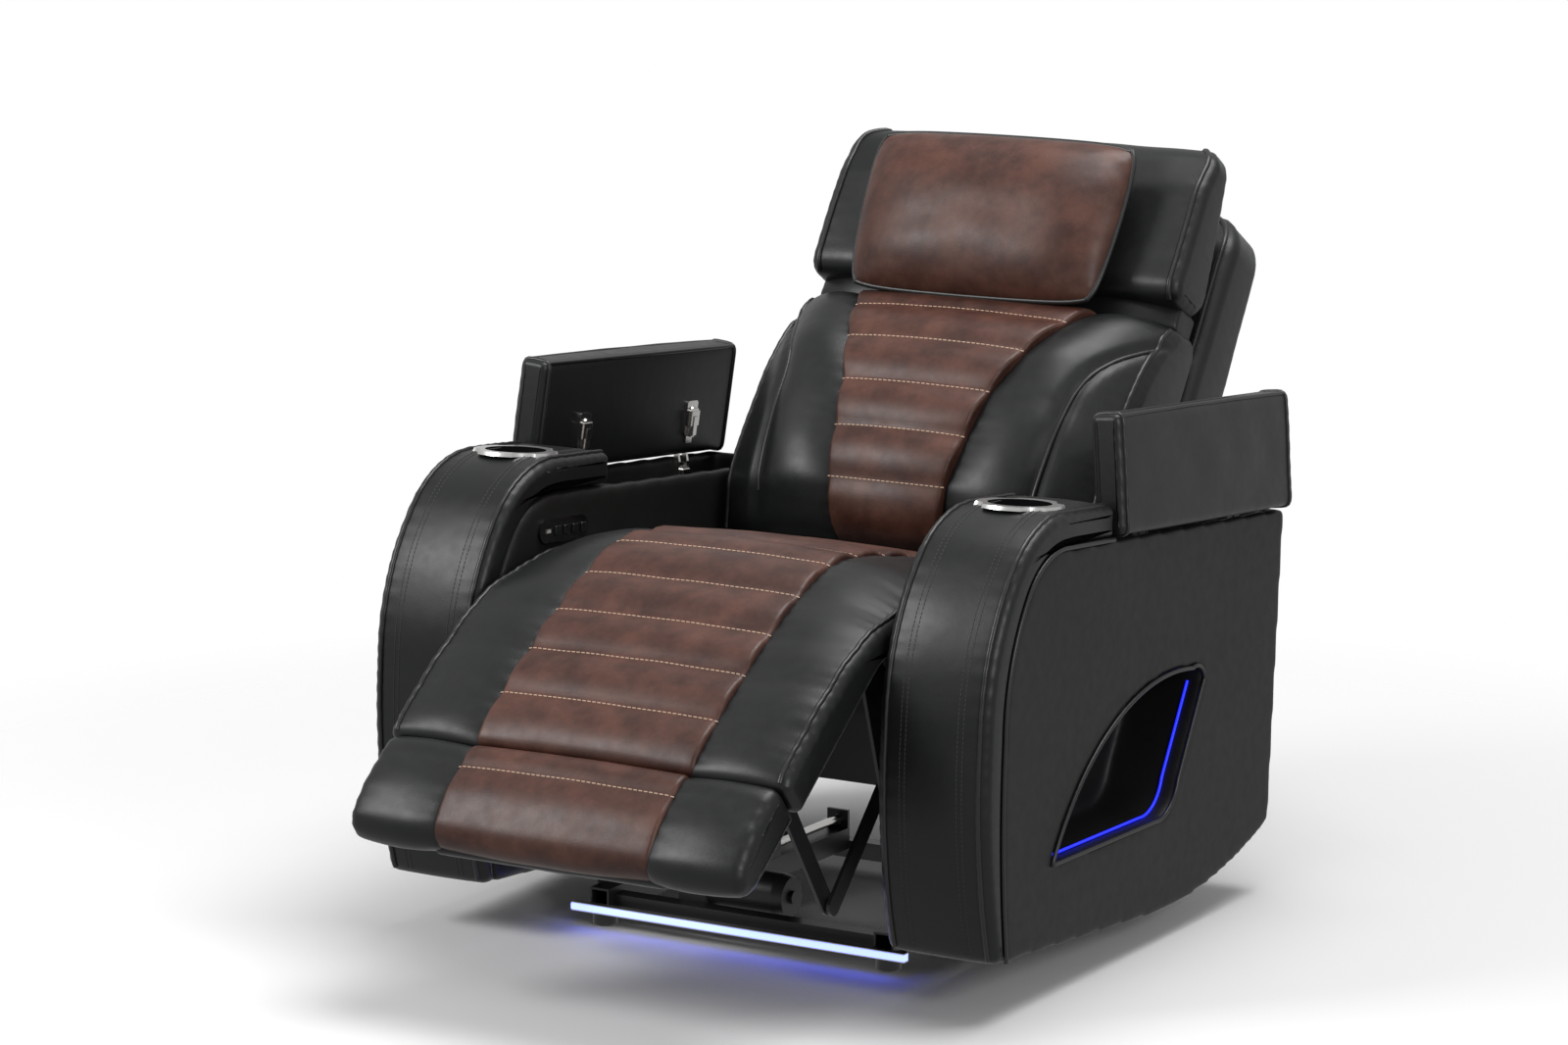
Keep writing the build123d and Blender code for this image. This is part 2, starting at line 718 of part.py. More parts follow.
def pocket_light():
    """Light strips along the rear and lower edges of both side pockets."""
    q = pocket_points
    inset = light_strip_thickness / 2 + fit_gap
    rear = (-0.894 * inset, 0.447 * inset)
    bend = (-0.75 * inset, 0.66 * inset)
    low = (0, inset)
    start = (q["tip"][0] + rear[0] - 9, q["tip"][1] + rear[1] - 18)
    rear_end = (q["elbow_top"][0] + rear[0], q["elbow_top"][1] + rear[1])
    corner = (q["elbow"][0] + bend[0], q["elbow"][1] + bend[1])
    low_start = (q["elbow_low"][0] + low[0], q["elbow_low"][1] + low[1])
    slope = (q["elbow_low"][1] - q["toe"][1]) / (q["elbow_low"][0] - q["toe"][0])
    finish = (q["toe"][0] + 60, q["toe"][1] + 60 * slope + low[1])
    with BuildPart() as strips:
        for side in (-1, 1):
            with BuildSketch(Plane.YZ.offset(side * (arm_outer_x - 8))):
                with BuildLine():
                    Line(start, rear_end)
                    ThreePointArc(rear_end, corner, low_start)
                    Line(low_start, finish)
                trace(line_width=light_strip_thickness)
            extrude(amount=-side * light_strip_width)
    return strips.part


keep(pocket_light(), "pocket_lights", carriage)
for side, name in ((-1, "left"), (1, "right")):
    keep(arm_core(side), f"arm_box_{name}", carriage)
    keep(arm_front_pad(side), f"arm_front_pad_{name}", carriage)
    keep(cup_holder(side), f"cup_holder_{name}", carriage)


# Lids, drawn closed about their hinge axis
lid_bottom = core_top + lid_seat_gap
lid_axis_x = arm_outer_x - lid_axis_inset
lid_axis_z = lid_bottom + lid_axis_rise


def lid_frame(side):
    """The open lid's place, about its hinge axis."""
    return carriage * Pos(side * lid_axis_x, 0, lid_axis_z) * Rotation(0, side * lid_open_angle, 0)


def arm_lid(side):
    """A padded lid, notched round its two hinges."""
    outer, inner = lid_axis_inset, arm_inner_x + 1 - lid_axis_x
    low, high = -lid_axis_rise, lid_thickness - lid_axis_rise
    with BuildPart() as lid:
        with BuildSketch(Plane.XZ.offset(-pad_end_y - soft_gap)):
            with Locations((side * (outer + inner) / 2, (low + high) / 2)):
                RectangleRounded(outer - inner, high - low, lid_round)
        extrude(amount=-(lid_rear_y - pad_end_y - soft_gap))
        for y in lid_hinge_ys:
            with BuildSketch(Plane.XZ.offset(-y + hinge_leaf_width / 2 + 2)):
                Circle(lid_notch_radius)
            extrude(amount=-hinge_leaf_width - 4, mode=Mode.SUBTRACT)
    return lid.part


def lid_leaves(side):
    """The hinge leaves on the lid: a barrel on the axis and a plate under the lid."""
    low = -lid_axis_rise
    plate_start = lid_barrel_radius + 7
    plate_z = low - hinge_leaf_thickness / 2
    with BuildPart() as leaves:
        for y in lid_hinge_ys:
            with BuildSketch(Plane.XZ.offset(-y + hinge_barrel_length / 2)):
                Circle(lid_barrel_radius)
                with Locations((-side * lid_barrel_radius, (low - hinge_leaf_thickness) / 2)):
                    Rectangle(lid_barrel_radius - 2, -low + hinge_leaf_thickness)
                with Locations((-side * 4, 0)):
                    Rectangle(12, 2 * lid_barrel_radius - 6)
                with Locations((-side * (plate_start / 2 + 3), plate_z)):
                    Rectangle(plate_start - 2, hinge_leaf_thickness)
                Circle(lid_pin_radius + pin_gap, mode=Mode.SUBTRACT)
            extrude(amount=-hinge_barrel_length)
            with BuildSketch(Plane.XY.offset(low)):
                with Locations((-side * (plate_start + hinge_leaf_length / 2), y)):
                    RectangleRounded(hinge_leaf_length, hinge_leaf_width, 5)
            extrude(amount=-hinge_leaf_thickness)
            with BuildSketch(Plane.XY.offset(low - hinge_leaf_thickness)):
                with Locations([(-side * (plate_start + reach), y) for reach in (16, 38)]):
                    Circle(6)
            extrude(amount=-3, taper=20)
    return leaves.part


with BuildPart() as hinge_bases:
    for side in (-1, 1):
        wall_x = side * (arm_outer_x - wall_thickness)
        for y in lid_hinge_ys:
            ear_span = hinge_barrel_length / 2 + fit_gap + hinge_ear_thickness
            for ear in (-1, 1):
                ear_y = y + ear * (hinge_barrel_length / 2 + fit_gap + hinge_ear_thickness / 2)
                with BuildSketch(Plane.XZ.offset(-ear_y + hinge_ear_thickness / 2)):
                    with BuildLine():
                        Polyline(
                            (wall_x, core_top - 50),
                            (wall_x, core_top + 1),
                            (side * (lid_axis_x + 6), lid_axis_z + 5),
                            (side * (lid_axis_x - 6), lid_axis_z + 5),
                            (wall_x - side * 9, core_top - 8),
                            (wall_x - side * 9, core_top - 50),
                            close=True,
                        )
                    make_face()
                extrude(amount=-hinge_ear_thickness)
            with BuildSketch(Plane.XZ.offset(-y + ear_span)):
                with Locations((side * lid_axis_x, lid_axis_z)):
                    Circle(lid_pin_radius)
                with Locations((wall_x - side * 3, core_top - 30)):
                    Rectangle(6, 40)
            extrude(amount=-2 * ear_span)
keep(hinge_bases.part, "lid_hinge_bases", carriage)

for side, name in ((-1, "left"), (1, "right")):
    keep(arm_lid(side), f"arm_lid_{name}", lid_frame(side))
    keep(lid_leaves(side), f"lid_hinge_leaves_{name}", lid_frame(side))


# Control panel and its buttons, on the inside of the left arm
panel_face = -arm_inner_x + 2 + panel_thickness
button_ys = [panel_y - panel_length / 2 + 42 + i * button_pitch for i in range(button_count)]
port_y = panel_y - panel_length / 2 + 20

with BuildPart() as control_panel:
    with BuildSketch(Plane.YZ.offset(-arm_inner_x - 2)):
        with Locations((panel_y, panel_z)):
            SlotOverall(panel_length, panel_height)
        with Locations([(y, panel_z) for y in button_ys]):
            RectangleRounded(button_side + 1, button_side + 1, 2.5, mode=Mode.SUBTRACT)
        with Locations((port_y, panel_z)):
            Rectangle(port_length, port_height, mode=Mode.SUBTRACT)
    extrude(amount=panel_thickness)
keep(control_panel.part, "control_panel", carriage)

with BuildPart() as usb_port:
    with BuildSketch(Plane.YZ.offset(-arm_inner_x - 2)):
        with Locations((port_y, panel_z)):
            Rectangle(port_length, port_height)
            Rectangle(port_length - 2.4, port_height - 2.4, mode=Mode.SUBTRACT)
    extrude(amount=panel_thickness)
    with BuildSketch(Plane.YZ.offset(-arm_inner_x - 2)):
        with Locations((port_y, panel_z)):
            Rectangle(port_length, port_height)
    extrude(amount=1)
keep(usb_port.part, "usb_port", carriage)

for i, y in enumerate(button_ys):
    with BuildPart() as button:
        with BuildSketch(Plane.YZ.offset(-arm_inner_x - 2 + button_travel + 0.2)):
            with Locations((y, panel_z)):
                RectangleRounded(button_side, button_side, 2)
        extrude(amount=panel_thickness - button_travel - 0.2 + button_proud)
        fillet(button.faces().sort_by(Axis.X)[-1].edges(), 1)
    keep(button.part, f"button_{i + 1}", carriage)


# Back: shell, brackets, pads
with BuildPart() as back_shell:
    with BuildSketch(Plane.YZ.offset(-shell_half_width)):
        with BuildLine():
            Polyline(
                (shell_front, shell_bottom),
                (shell_front, shell_top - 60),
                (shell_front + 30, shell_top),
                (shell_rear - 14, shell_top),
                (shell_rear, shell_top - 240),
                (shell_rear - 10, shell_bottom + 40),
                (shell_rear - 50, shell_bottom),
                close=True,
            )
        make_face()
    extrude(amount=2 * shell_half_width)
    fillet(back_shell.edges().filter_by(Axis.X).group_by(Axis.Z)[-1], 14)
keep(back_shell.part, "back_shell", backrest)

bracket_x = side_plate_x + plate_thickness + 2
with BuildPart() as back_brackets:
    for side in (-1, 1):
        with BuildSketch(Plane.YZ.offset(side * (bracket_x + plate_thickness / 2) - plate_thickness / 2)):
            with BuildLine():
                inner = shell_front - back_bracket_depth
                Polyline(
                    (-16, -10),
                    (8, -20),
                    (shell_front, -20),
                    (shell_front, 300),
                    (inner, 300),
                    (inner, 22),
                    (10, 20),
                    (-12, 14),
                    close=True,
                )
            make_face()
        extrude(amount=plate_thickness)
        with BuildSketch(Plane.YZ.offset(side * bracket_x)):
            Circle(back_pin_radius)
        extrude(amount=-side * (plate_thickness + 6))
keep(back_brackets.part, "back_brackets", backrest)

lumbar_stitches = [
    (-112.0, back_pad_bottom + 4),
    (-157.0, 106.0),
    (-163.0, 182.0),
    (-158.0, 255.0),
    (-144.0, 329.0),
    (-103.0, 397.0),
    (-60.0, back_pad_top - 10),
]
panel_half_widths = [(back_pad_bottom - 4, 85.0), (182.0, 103.0), (300.0, 128.0), (back_pad_top + 8, 190.0)]


def back_profile(forward, bulge):
    """Side view lines of a back pad whose front is moved by forward, with channels of that bulge."""
    front = [(y + forward, z) for y, z in lumbar_stitches]
    channel_arcs(front, bulge)
    Line(front[-1], (back_pad_rear - 20, back_pad_top))
    Line((back_pad_rear - 20, back_pad_top), (back_pad_rear, back_pad_top - 20))
    Line((back_pad_rear, back_pad_top - 20), (back_pad_rear, back_pad_bottom))
    Line((back_pad_rear, back_pad_bottom), (front[0][0] + 20, back_pad_bottom))
    Line((front[0][0] + 20, back_pad_bottom), front[0])


def panel_shape(grow):
    """Front view lines of the tapered middle panel, widened by grow."""
    right = [(half + grow, z) for z, half in panel_half_widths]
    left = [(-x, z) for x, z in reversed(right)]
    Spline(*right)
    Line(right[-1], left[0])
    Spline(*left)
    Line(left[-1], right[0])


with BuildPart() as back_center:
    with BuildSketch(Plane.YZ.offset(-cushion_half_width)):
        with BuildLine():
            back_profile(0, 6)
        make_face()
    extrude(amount=2 * cushion_half_width)
    with BuildSketch(Plane.XZ.offset(-200)):
        with BuildLine():
            panel_shape(0)
        make_face()
    extrude(amount=400, mode=Mode.INTERSECT)
keep(back_center.part, "back_center_panel", backrest)

for side, name in ((-1, "left"), (1, "right")):
    with BuildPart() as bolster:
        with BuildSketch(Plane.YZ):
            with BuildLine():
                back_profile(18, 2)
            make_face()
        extrude(amount=side * cushion_half_width)
        with BuildSketch(Plane.XZ.offset(-200)):
            with BuildLine():
                panel_shape(fit_gap)
            make_face()
        extrude(amount=400, mode=Mode.SUBTRACT)
    keep(bolster.part, f"back_side_bolster_{name}", backrest)


# Headrest, drawn in the back's frame as it stands
head_low_rear = (46.0, 470.0)
head_mid_rear = (24.0, 590.0)
with BuildPart() as headrest_cushion:
    with BuildSketch(Plane.YZ.offset(-cushion_half_width + 2)):
        with BuildLine():
            Polyline((-38, 470), (-54, 500), (-60, 640), (-48, 700), (-26, 722), (-8, 722))
            Polyline((-8, 722), head_mid_rear, head_low_rear, (-38, 470))
        make_face()
    extrude(amount=2 * cushion_half_width - 4)
    fillet(headrest_cushion.edges().filter_by(Axis.X).group_by(Axis.Z)[-1], 8)
keep(headrest_cushion.part, "headrest_cushion", backrest)

with BuildPart() as pillow:
    with BuildSketch(Plane.YZ.offset(-pillow_half_width)):
        with BuildLine():
            Line((-55, 500), (-61, 640))
            Line((-61, 640), (-50, 698))
            ThreePointArc((-50, 698), (-112, 680), (-142, 600))
            ThreePointArc((-142, 600), (-128, 508), (-84, 466))
            Line((-84, 466), (-55, 500))
        make_face()
    extrude(amount=2 * pillow_half_width)
keep(pillow.part, "headrest_pillow", backrest)

with BuildPart() as head_rod:
    with BuildSketch(Plane.YZ.offset(-head_bracket_x - 22)):
        with Locations((head_axis_y, head_axis_z)):
            Circle(head_rod_radius)
    extrude(amount=2 * (head_bracket_x + 22))
    for side in (-1, 1):
        with BuildSketch(Plane.YZ.offset(side * (head_bracket_x + 16) - plate_thickness / 2)):
            with Locations(((shell_front + head_axis_y - head_eye_radius) / 2, head_axis_z)):
                Rectangle(shell_front - head_axis_y + head_eye_radius, 2 * head_eye_radius)
        extrude(amount=plate_thickness)
keep(head_rod.part, "headrest_hinge_rod", backrest)

with BuildPart() as head_brackets:
    for side in (-1, 1):
        with BuildSketch(Plane.YZ.offset(side * head_bracket_x - plate_thickness / 2)):
            with BuildLine():
                Polyline(
                    (head_axis_y - 6, head_axis_z + 3),
                    (head_axis_y + 5, head_axis_z + 5),
                    (head_low_rear[0] + 6, head_low_rear[1] + 4),
                    (head_mid_rear[0] + 5, head_mid_rear[1]),
                    head_mid_rear,
                    head_low_rear,
                    close=True,
                )
            make_face()
            with Locations((head_axis_y, head_axis_z)):
                Circle(head_eye_radius)
                Circle(head_rod_radius + pin_gap, mode=Mode.SUBTRACT)
        extrude(amount=plate_thickness)
keep(head_brackets.part, "headrest_brackets", backrest)


# Writes each piece in its place, with the origin under the middle of the chair
boxes = [(place * part).bounding_box() for _, part, place in parts]
middle_y = (min(box.min.Y for box in boxes) + max(box.max.Y for box in boxes)) / 2
os.makedirs("parts", exist_ok=True)
for label, part, place in parts:
    placed = Pos(0, -middle_y, 0) * (place * part)
    placed.label = label
    export_step(placed, f"parts/{label}.step")
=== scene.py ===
import math

import bmesh
import bpy
import numpy as np
from mathutils import Matrix, Vector, geometry, noise


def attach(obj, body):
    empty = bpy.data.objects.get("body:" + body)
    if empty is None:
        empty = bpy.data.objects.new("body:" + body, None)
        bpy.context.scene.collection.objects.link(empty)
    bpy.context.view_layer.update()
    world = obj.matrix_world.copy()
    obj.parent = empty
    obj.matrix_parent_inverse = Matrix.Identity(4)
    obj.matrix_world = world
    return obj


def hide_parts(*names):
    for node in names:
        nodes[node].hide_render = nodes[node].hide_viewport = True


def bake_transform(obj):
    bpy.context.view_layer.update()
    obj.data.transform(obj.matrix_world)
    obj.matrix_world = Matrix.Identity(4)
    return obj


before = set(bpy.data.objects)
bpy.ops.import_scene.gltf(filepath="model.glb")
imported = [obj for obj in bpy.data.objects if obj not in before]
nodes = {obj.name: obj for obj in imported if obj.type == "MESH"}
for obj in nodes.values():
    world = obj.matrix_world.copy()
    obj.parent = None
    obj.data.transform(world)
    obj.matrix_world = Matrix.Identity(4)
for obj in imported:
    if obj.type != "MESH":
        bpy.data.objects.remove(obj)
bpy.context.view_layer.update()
print("frame loaded")

# Frames of the moving groups, as in the construction: millimetres and degrees until placed
mm = 0.001
stance = {
    "middleY": 188.2334,  # the construction's middle, which the frame puts at zero
    "lean": -4.5,
    "footHinge": (-190.0, 425.0),
    "footAngle": 42,
    "backHinge": (370, 430),
    "backAngle": -30,
    "lidHinge": (455.5, 601.5),
    "lidAngle": 84,
}
sides = ((-1, "left"), (1, "right"))


def turned(degrees, axis="X"):
    return Matrix.Rotation(math.radians(degrees), 4, axis)


toWorld = Matrix.Diagonal((mm, mm, mm, 1.0)) @ Matrix.Translation((0, -stance["middleY"], 0))
carriage = toWorld @ turned(stance["lean"])
footrest = carriage @ Matrix.Translation((0, *stance["footHinge"])) @ turned(stance["footAngle"])
backrest = carriage @ Matrix.Translation((0, *stance["backHinge"])) @ turned(stance["backAngle"])


def lidFrame(side):
    x, z = stance["lidHinge"]
    return carriage @ Matrix.Translation((side * x, 0, z)) @ turned(side * stance["lidAngle"], "Y")


def placed(place, points):
    return [place @ Vector(p) for p in points]


# A shader socket that can be added, taken away and multiplied
class Wire:
    def __init__(self, tree, socket):
        self.tree = tree
        self.socket = socket

    def math(self, operation, other, flip=False, clamp=False):
        node = self.tree.nodes.new("ShaderNodeMath")
        node.operation = operation
        node.use_clamp = clamp
        ends = (other, self) if flip else (self, other)
        for slot, end in zip(node.inputs, ends):
            if isinstance(end, Wire):
                self.tree.links.new(end.socket, slot)
            else:
                slot.default_value = end
        return Wire(self.tree, node.outputs[0])

    def __add__(self, other):
        return self.math("ADD", other)

    __radd__ = __add__

    def __sub__(self, other):
        return self.math("SUBTRACT", other)

    def __rsub__(self, other):
        return self.math("SUBTRACT", other, flip=True)

    def __mul__(self, other):
        return self.math("MULTIPLY", other)

    __rmul__ = __mul__


def shaderNode(tree, kind, inputs=None, **settings):
    node = tree.nodes.new(kind)
    for key, value in settings.items():
        setattr(node, key, value)
    for key, value in (inputs or {}).items():
        if isinstance(value, Wire):
            tree.links.new(value.socket, node.inputs[key])
        else:
            node.inputs[key].default_value = value
    return node


def material(name, color, roughness, metallic=0.0, coat=0.0, emission=None, strength=0.0):
    made = bpy.data.materials.new(name)
    made.use_nodes = True
    shader = made.node_tree.nodes["Principled BSDF"]
    shader.inputs["Base Color"].default_value = (*color, 1.0)
    shader.inputs["Roughness"].default_value = roughness
    shader.inputs["Metallic"].default_value = metallic
    shader.inputs["Coat Weight"].default_value = coat
    if emission:
        shader.inputs["Emission Color"].default_value = (*emission, 1.0)
        shader.inputs["Emission Strength"].default_value = strength
    return made


# Grained leather whose colour wanders between two tones
def leather(name, dark, light, mottle, roughness, gleam):
    made = material(name, dark, roughness)
    tree = made.node_tree
    shader = tree.nodes["Principled BSDF"]
    shader.inputs["Specular IOR Level"].default_value = gleam
    place = Wire(tree, shaderNode(tree, "ShaderNodeTexCoord").outputs["Object"])

    def cloud(scale, detail, **more):
        inputs = {"Vector": place, "Scale": scale, "Detail": detail, **more}
        return Wire(tree, shaderNode(tree, "ShaderNodeTexNoise", inputs).outputs["Fac"])

    broad = (cloud(mottle, 5.0, Roughness=0.62) - 0.36).math("MULTIPLY", 3.2, clamp=True)
    blotches = broad * 0.8 + cloud(mottle * 7, 3.0) * 0.25
    tones = {0: blotches, 6: (*dark, 1.0), 7: (*light, 1.0)}
    mix = shaderNode(tree, "ShaderNodeMix", tones, data_type="RGBA")
    tree.links.new(mix.outputs[2], shader.inputs["Base Color"])
    pores = {"Vector": place, "Scale": 420.0}
    grain = shaderNode(tree, "ShaderNodeTexVoronoi", pores, feature="DISTANCE_TO_EDGE")
    creases = cloud(60.0, 4.0)
    height = Wire(tree, grain.outputs["Distance"]) * 0.6 + creases * 0.9
    bump = shaderNode(tree, "ShaderNodeBump", {"Height": height, "Strength": 0.35, "Distance": 0.0006})
    tree.links.new(bump.outputs["Normal"], shader.inputs["Normal"])
    sheen = creases * 0.16 + (roughness - 0.08)
    tree.links.new(sheen.socket, shader.inputs["Roughness"])
    return made


blackTones = {"dark": (0.0070, 0.0076, 0.0078), "light": (0.0115, 0.0122, 0.0124), "mottle": 5.0}
sideTones = {"dark": (0.0085, 0.0083, 0.0080), "light": (0.0135, 0.013, 0.0125), "mottle": 5.0}
brownTones = {"dark": (0.036, 0.0125, 0.0088), "light": (0.108, 0.044, 0.030), "mottle": 19.0}
barGlow = {"emission": (0.10, 0.125, 1.0), "strength": 6.0}
pocketGlow = {"emission": (0.012, 0.02, 1.0), "strength": 1.6}
looks = {
    "black": leather("blackLeather", **blackTones, roughness=0.38, gleam=0.34),
    "side": leather("blackSideLeather", **sideTones, roughness=0.46, gleam=0.24),
    "brown": leather("brownLeather", **brownTones, roughness=0.42, gleam=0.36),
    "welt": material("weltLeather", (0.009, 0.009, 0.009), 0.36),
    "thread": material("tanThread", (0.60, 0.42, 0.31), 0.8),
    "darkThread": material("blackThread", (0.035, 0.034, 0.033), 0.7),
    "silver": material("satinSilver", (0.62, 0.62, 0.61), 0.28, metallic=0.85),
    "nickel": material("brightNickel", (0.68, 0.67, 0.65), 0.2, metallic=1.0),
    "steel": material("blackSteel", (0.018, 0.018, 0.02), 0.38, metallic=0.2),
    "plastic": material("blackPlastic", (0.016, 0.016, 0.017), 0.45),
    "gloss": material("glossBlack", (0.008, 0.008, 0.009), 0.1, coat=0.5),
    "light": material("lightBar", (0.6, 0.8, 1.0), 0.4, **barGlow),
    "pocket": material("pocketLight", (0.02, 0.03, 0.3), 0.4, **pocketGlow),
}
print("materials made")


def addObject(name, data):
    made = bpy.data.objects.new(name, data)
    bpy.context.scene.collection.objects.link(made)
    return made


def addMesh(name, vertices, faces, look, smooth=True):
    data = bpy.data.meshes.new(name)
    data.from_pydata([tuple(v) for v in vertices], [], faces)
    data.update()
    data.materials.append(looks[look])
    made = addObject(name, data)
    fixer = bmesh.new()
    fixer.from_mesh(data)
    bmesh.ops.recalc_face_normals(fixer, faces=fixer.faces[:])
    if fixer.calc_volume(signed=True) < 0:
        bmesh.ops.reverse_faces(fixer, faces=fixer.faces[:])
    fixer.to_mesh(data)
    fixer.free()
    if smooth:
        data.shade_smooth()
    return made


# The plain mesh of an object with its modifiers or its bevel applied
def finishedMesh(holder):
    bpy.context.view_layer.update()
    return bpy.data.meshes.new_from_object(holder.evaluated_get(bpy.context.evaluated_depsgraph_get()))


def sampleLine(a, b, step=6.0):
    count = max(1, int(math.dist(a, b) / step))
    return [(a[0] + (b[0] - a[0]) * i / count, a[1] + (b[1] - a[1]) * i / count) for i in range(count)]


def samplePath(corners, step=6.0):
    points = []
    for a, b in zip(corners, corners[1:]):
        points += sampleLine(a, b, step)
    return points


# Points on the arc through a, m and b, without its end
def sampleArc(a, m, b, step=6.0):
    d = 2 * (a[0] * (m[1] - b[1]) + m[0] * (b[1] - a[1]) + b[0] * (a[1] - m[1]))
    if abs(d) < 1e-6:
        return sampleLine(a, b, step)
    sa, sm, sb = (p[0] ** 2 + p[1] ** 2 for p in (a, m, b))
    cx = (sa * (m[1] - b[1]) + sm * (b[1] - a[1]) + sb * (a[1] - m[1])) / d
    cy = (sa * (b[0] - m[0]) + sm * (a[0] - b[0]) + sb * (m[0] - a[0])) / d
    r = math.dist((cx, cy), a)
    start, mid, end = (math.atan2(p[1] - cy, p[0] - cx) for p in (a, m, b))
    forward = (mid - start) % math.tau <= (end - start) % math.tau
    sweep = (end - start) % math.tau if forward else -((start - end) % math.tau)
    count = max(2, int(abs(sweep) * r / step))
    angles = [start + sweep * i / count for i in range(count)]
    return [(cx + r * math.cos(t), cy + r * math.sin(t)) for t in angles]


def sampleArcs(arcs):
    points = []
    for a, m, b in arcs:
        points += sampleArc(a, m, b)
    return points


# Arcs from stitch to stitch, swelling to the left of the way they run
def channels(points, bulge):
    arcs = []
    for a, b in zip(points, points[1:]):
        length = math.dist(a, b)
        midY = (a[0] + b[0]) / 2 - (b[1] - a[1]) / length * bulge
        midZ = (a[1] + b[1]) / 2 + (b[0] - a[0]) / length * bulge
        arcs.append((a, (midY, midZ), b))
    return sampleArcs(arcs)


def softenRing(ring, rounds):
    for _ in range(rounds):
        ring = 0.25 * np.roll(ring, 1, 0) + 0.5 * ring + 0.25 * np.roll(ring, -1, 0)
    return ring


def outwardNormals(ring):
    ahead = np.roll(ring, -1, 0) - np.roll(ring, 1, 0)
    area = 0.5 * np.sum(ring[:, 0] * np.roll(ring[:, 1], -1) - np.roll(ring[:, 0], -1) * ring[:, 1])
    normal = np.stack((ahead[:, 1], -ahead[:, 0]), 1) * (1 if area > 0 else -1)
    normal /= np.maximum(np.linalg.norm(normal, axis=1), 1e-9)[:, None]
    return softenRing(normal, 3)


# How every pad is drawn, in millimetres
padding = {
    "roundSteps": 7,  # columns in each rounded end
    "columnPitch": 9,
    "gatherDepth": 2.2,
    "gatherReach": 16.0,
    "gatherRate": 0.29,  # puckers along the edge, with a slow drift in their pitch
    "gatherDrift": 0.043,
    "wanderScale": 0.013,
    "wanderSeed": 3.1,
}
weltColumns = {-1: padding["roundSteps"], 1: -padding["roundSteps"] - 1}  # where the rounded ends begin
threadMargin = 4  # columns left bare at each end of a stitched line


# Columns of a pad from end to end: share of the width, distance from the end, sinking
def padColumns(edge, middle):
    turns = [math.pi / 2 * i / padding["roundSteps"] for i in range(padding["roundSteps"])]
    ends = [(edge * (1 - math.cos(t)), edge * (1 - math.sin(t))) for t in turns]
    columns = [(0, off, inset) for off, inset in ends]
    columns += [(k / middle, None, 0.0) for k in range(middle + 1)]
    return columns + [(1, off, inset) for off, inset in reversed(ends)]


# A closed padded piece: an outline in (y, z) carried across X between span(y, z), with rounded ends.
# The first points of the outline, as many as face says, are the soft front.
# Gives the piece, its grid of points in place and its ring.
def pad(name, place, outline, face, span, look, edge=12.0, crown=0.0, soften=2, wander=1.5, gather=1.0,
        shape=None, corner=0.0):
    ring = softenRing(np.array(outline, float), soften)
    normal = outwardNormals(ring)
    soft = np.zeros(len(ring))
    soft[:face] = 1.0
    soft = softenRing(soft[:, None], 12)[:, 0]
    widths = [span(y, z) for y, z in ring]
    low = np.array([w[0] for w in widths])
    high = np.array([w[1] for w in widths])
    ease = 1.0
    if corner:  # ends sink less where the outline's own corner is already round
        ease = np.clip(1 - ((high - low).max() - (high - low)) / (1.4 * corner), 0.06, 1)
    columns = padColumns(edge, max(6, int((high - low).mean() / padding["columnPitch"])))
    run = np.concatenate(([0], np.cumsum(np.linalg.norm(np.diff(ring, axis=0), axis=1))))
    grid = []
    for part, off, inset in columns:
        if off is None:
            x = low + edge + (high - low - 2 * edge) * part
        else:
            x = low + off if part == 0 else high - off
        across = (x - (low + high) / 2) / np.maximum((high - low) / 2, 1e-6)
        lift = soft * crown * (1 - across ** 2) - inset * ease
        toEdge = np.minimum(x - low, high - x)
        drift = 1.7 * np.sin(run * padding["gatherDrift"])
        ripple = 0.5 + 0.5 * np.sin(run * padding["gatherRate"] + drift + (0 if part < 0.5 else 2.0))
        lift -= soft * gather * padding["gatherDepth"] * np.exp(-toEdge / padding["gatherReach"]) * ripple
        scale, seed = padding["wanderScale"], padding["wanderSeed"]
        wave = [noise.noise(Vector((xi * scale, run[i] * scale, seed))) for i, xi in enumerate(x)]
        lift += soft * wander * np.array(wave)
        points = ring + normal * lift[:, None]
        grid.append(np.column_stack((x, points)))
    grid = np.array(grid)
    if shape:
        grid = shape(grid)
    world = np.array(place)
    flat = grid.reshape(-1, 3) @ world[:3, :3].T + world[:3, 3]
    count = len(ring)
    faces = []
    for c in range(len(columns) - 1):
        for i in range(count):
            j = (i + 1) % count
            faces.append((c * count + i, c * count + j, (c + 1) * count + j, (c + 1) * count + i))
    last = (len(columns) - 1) * count
    for a, b, c in geometry.tessellate_polygon([[Vector((y, z, 0)) for y, z in ring]]):
        faces += [(a, b, c), (last + c, last + b, last + a)]
    made = addMesh(name, flat, faces, look)
    return made, flat.reshape(len(columns), count, 3), ring


def evenSpan(a, b):
    ends = tuple(sorted((a, b)))
    return lambda y, z: ends


# Even width, with its two upper corners rounded
def roundedSpan(half, top, corner):
    def span(y, z):
        over = max(0.0, z - (top - corner))
        cut = corner - math.sqrt(max(0.0, corner ** 2 - over ** 2))
        return -half + cut, half - cut
    return span


# Rises from least to 1 along a length that begins at start; a negative length runs the other way
def ramp(value, start, length, least=0):
    return np.clip((value - start) / length, least, 1)


def nearestRow(ring, point):
    return int(np.argmin(np.linalg.norm(ring - np.array(point), axis=1)))


def upholstery(piece, fill, *solids):
    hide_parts(*solids)


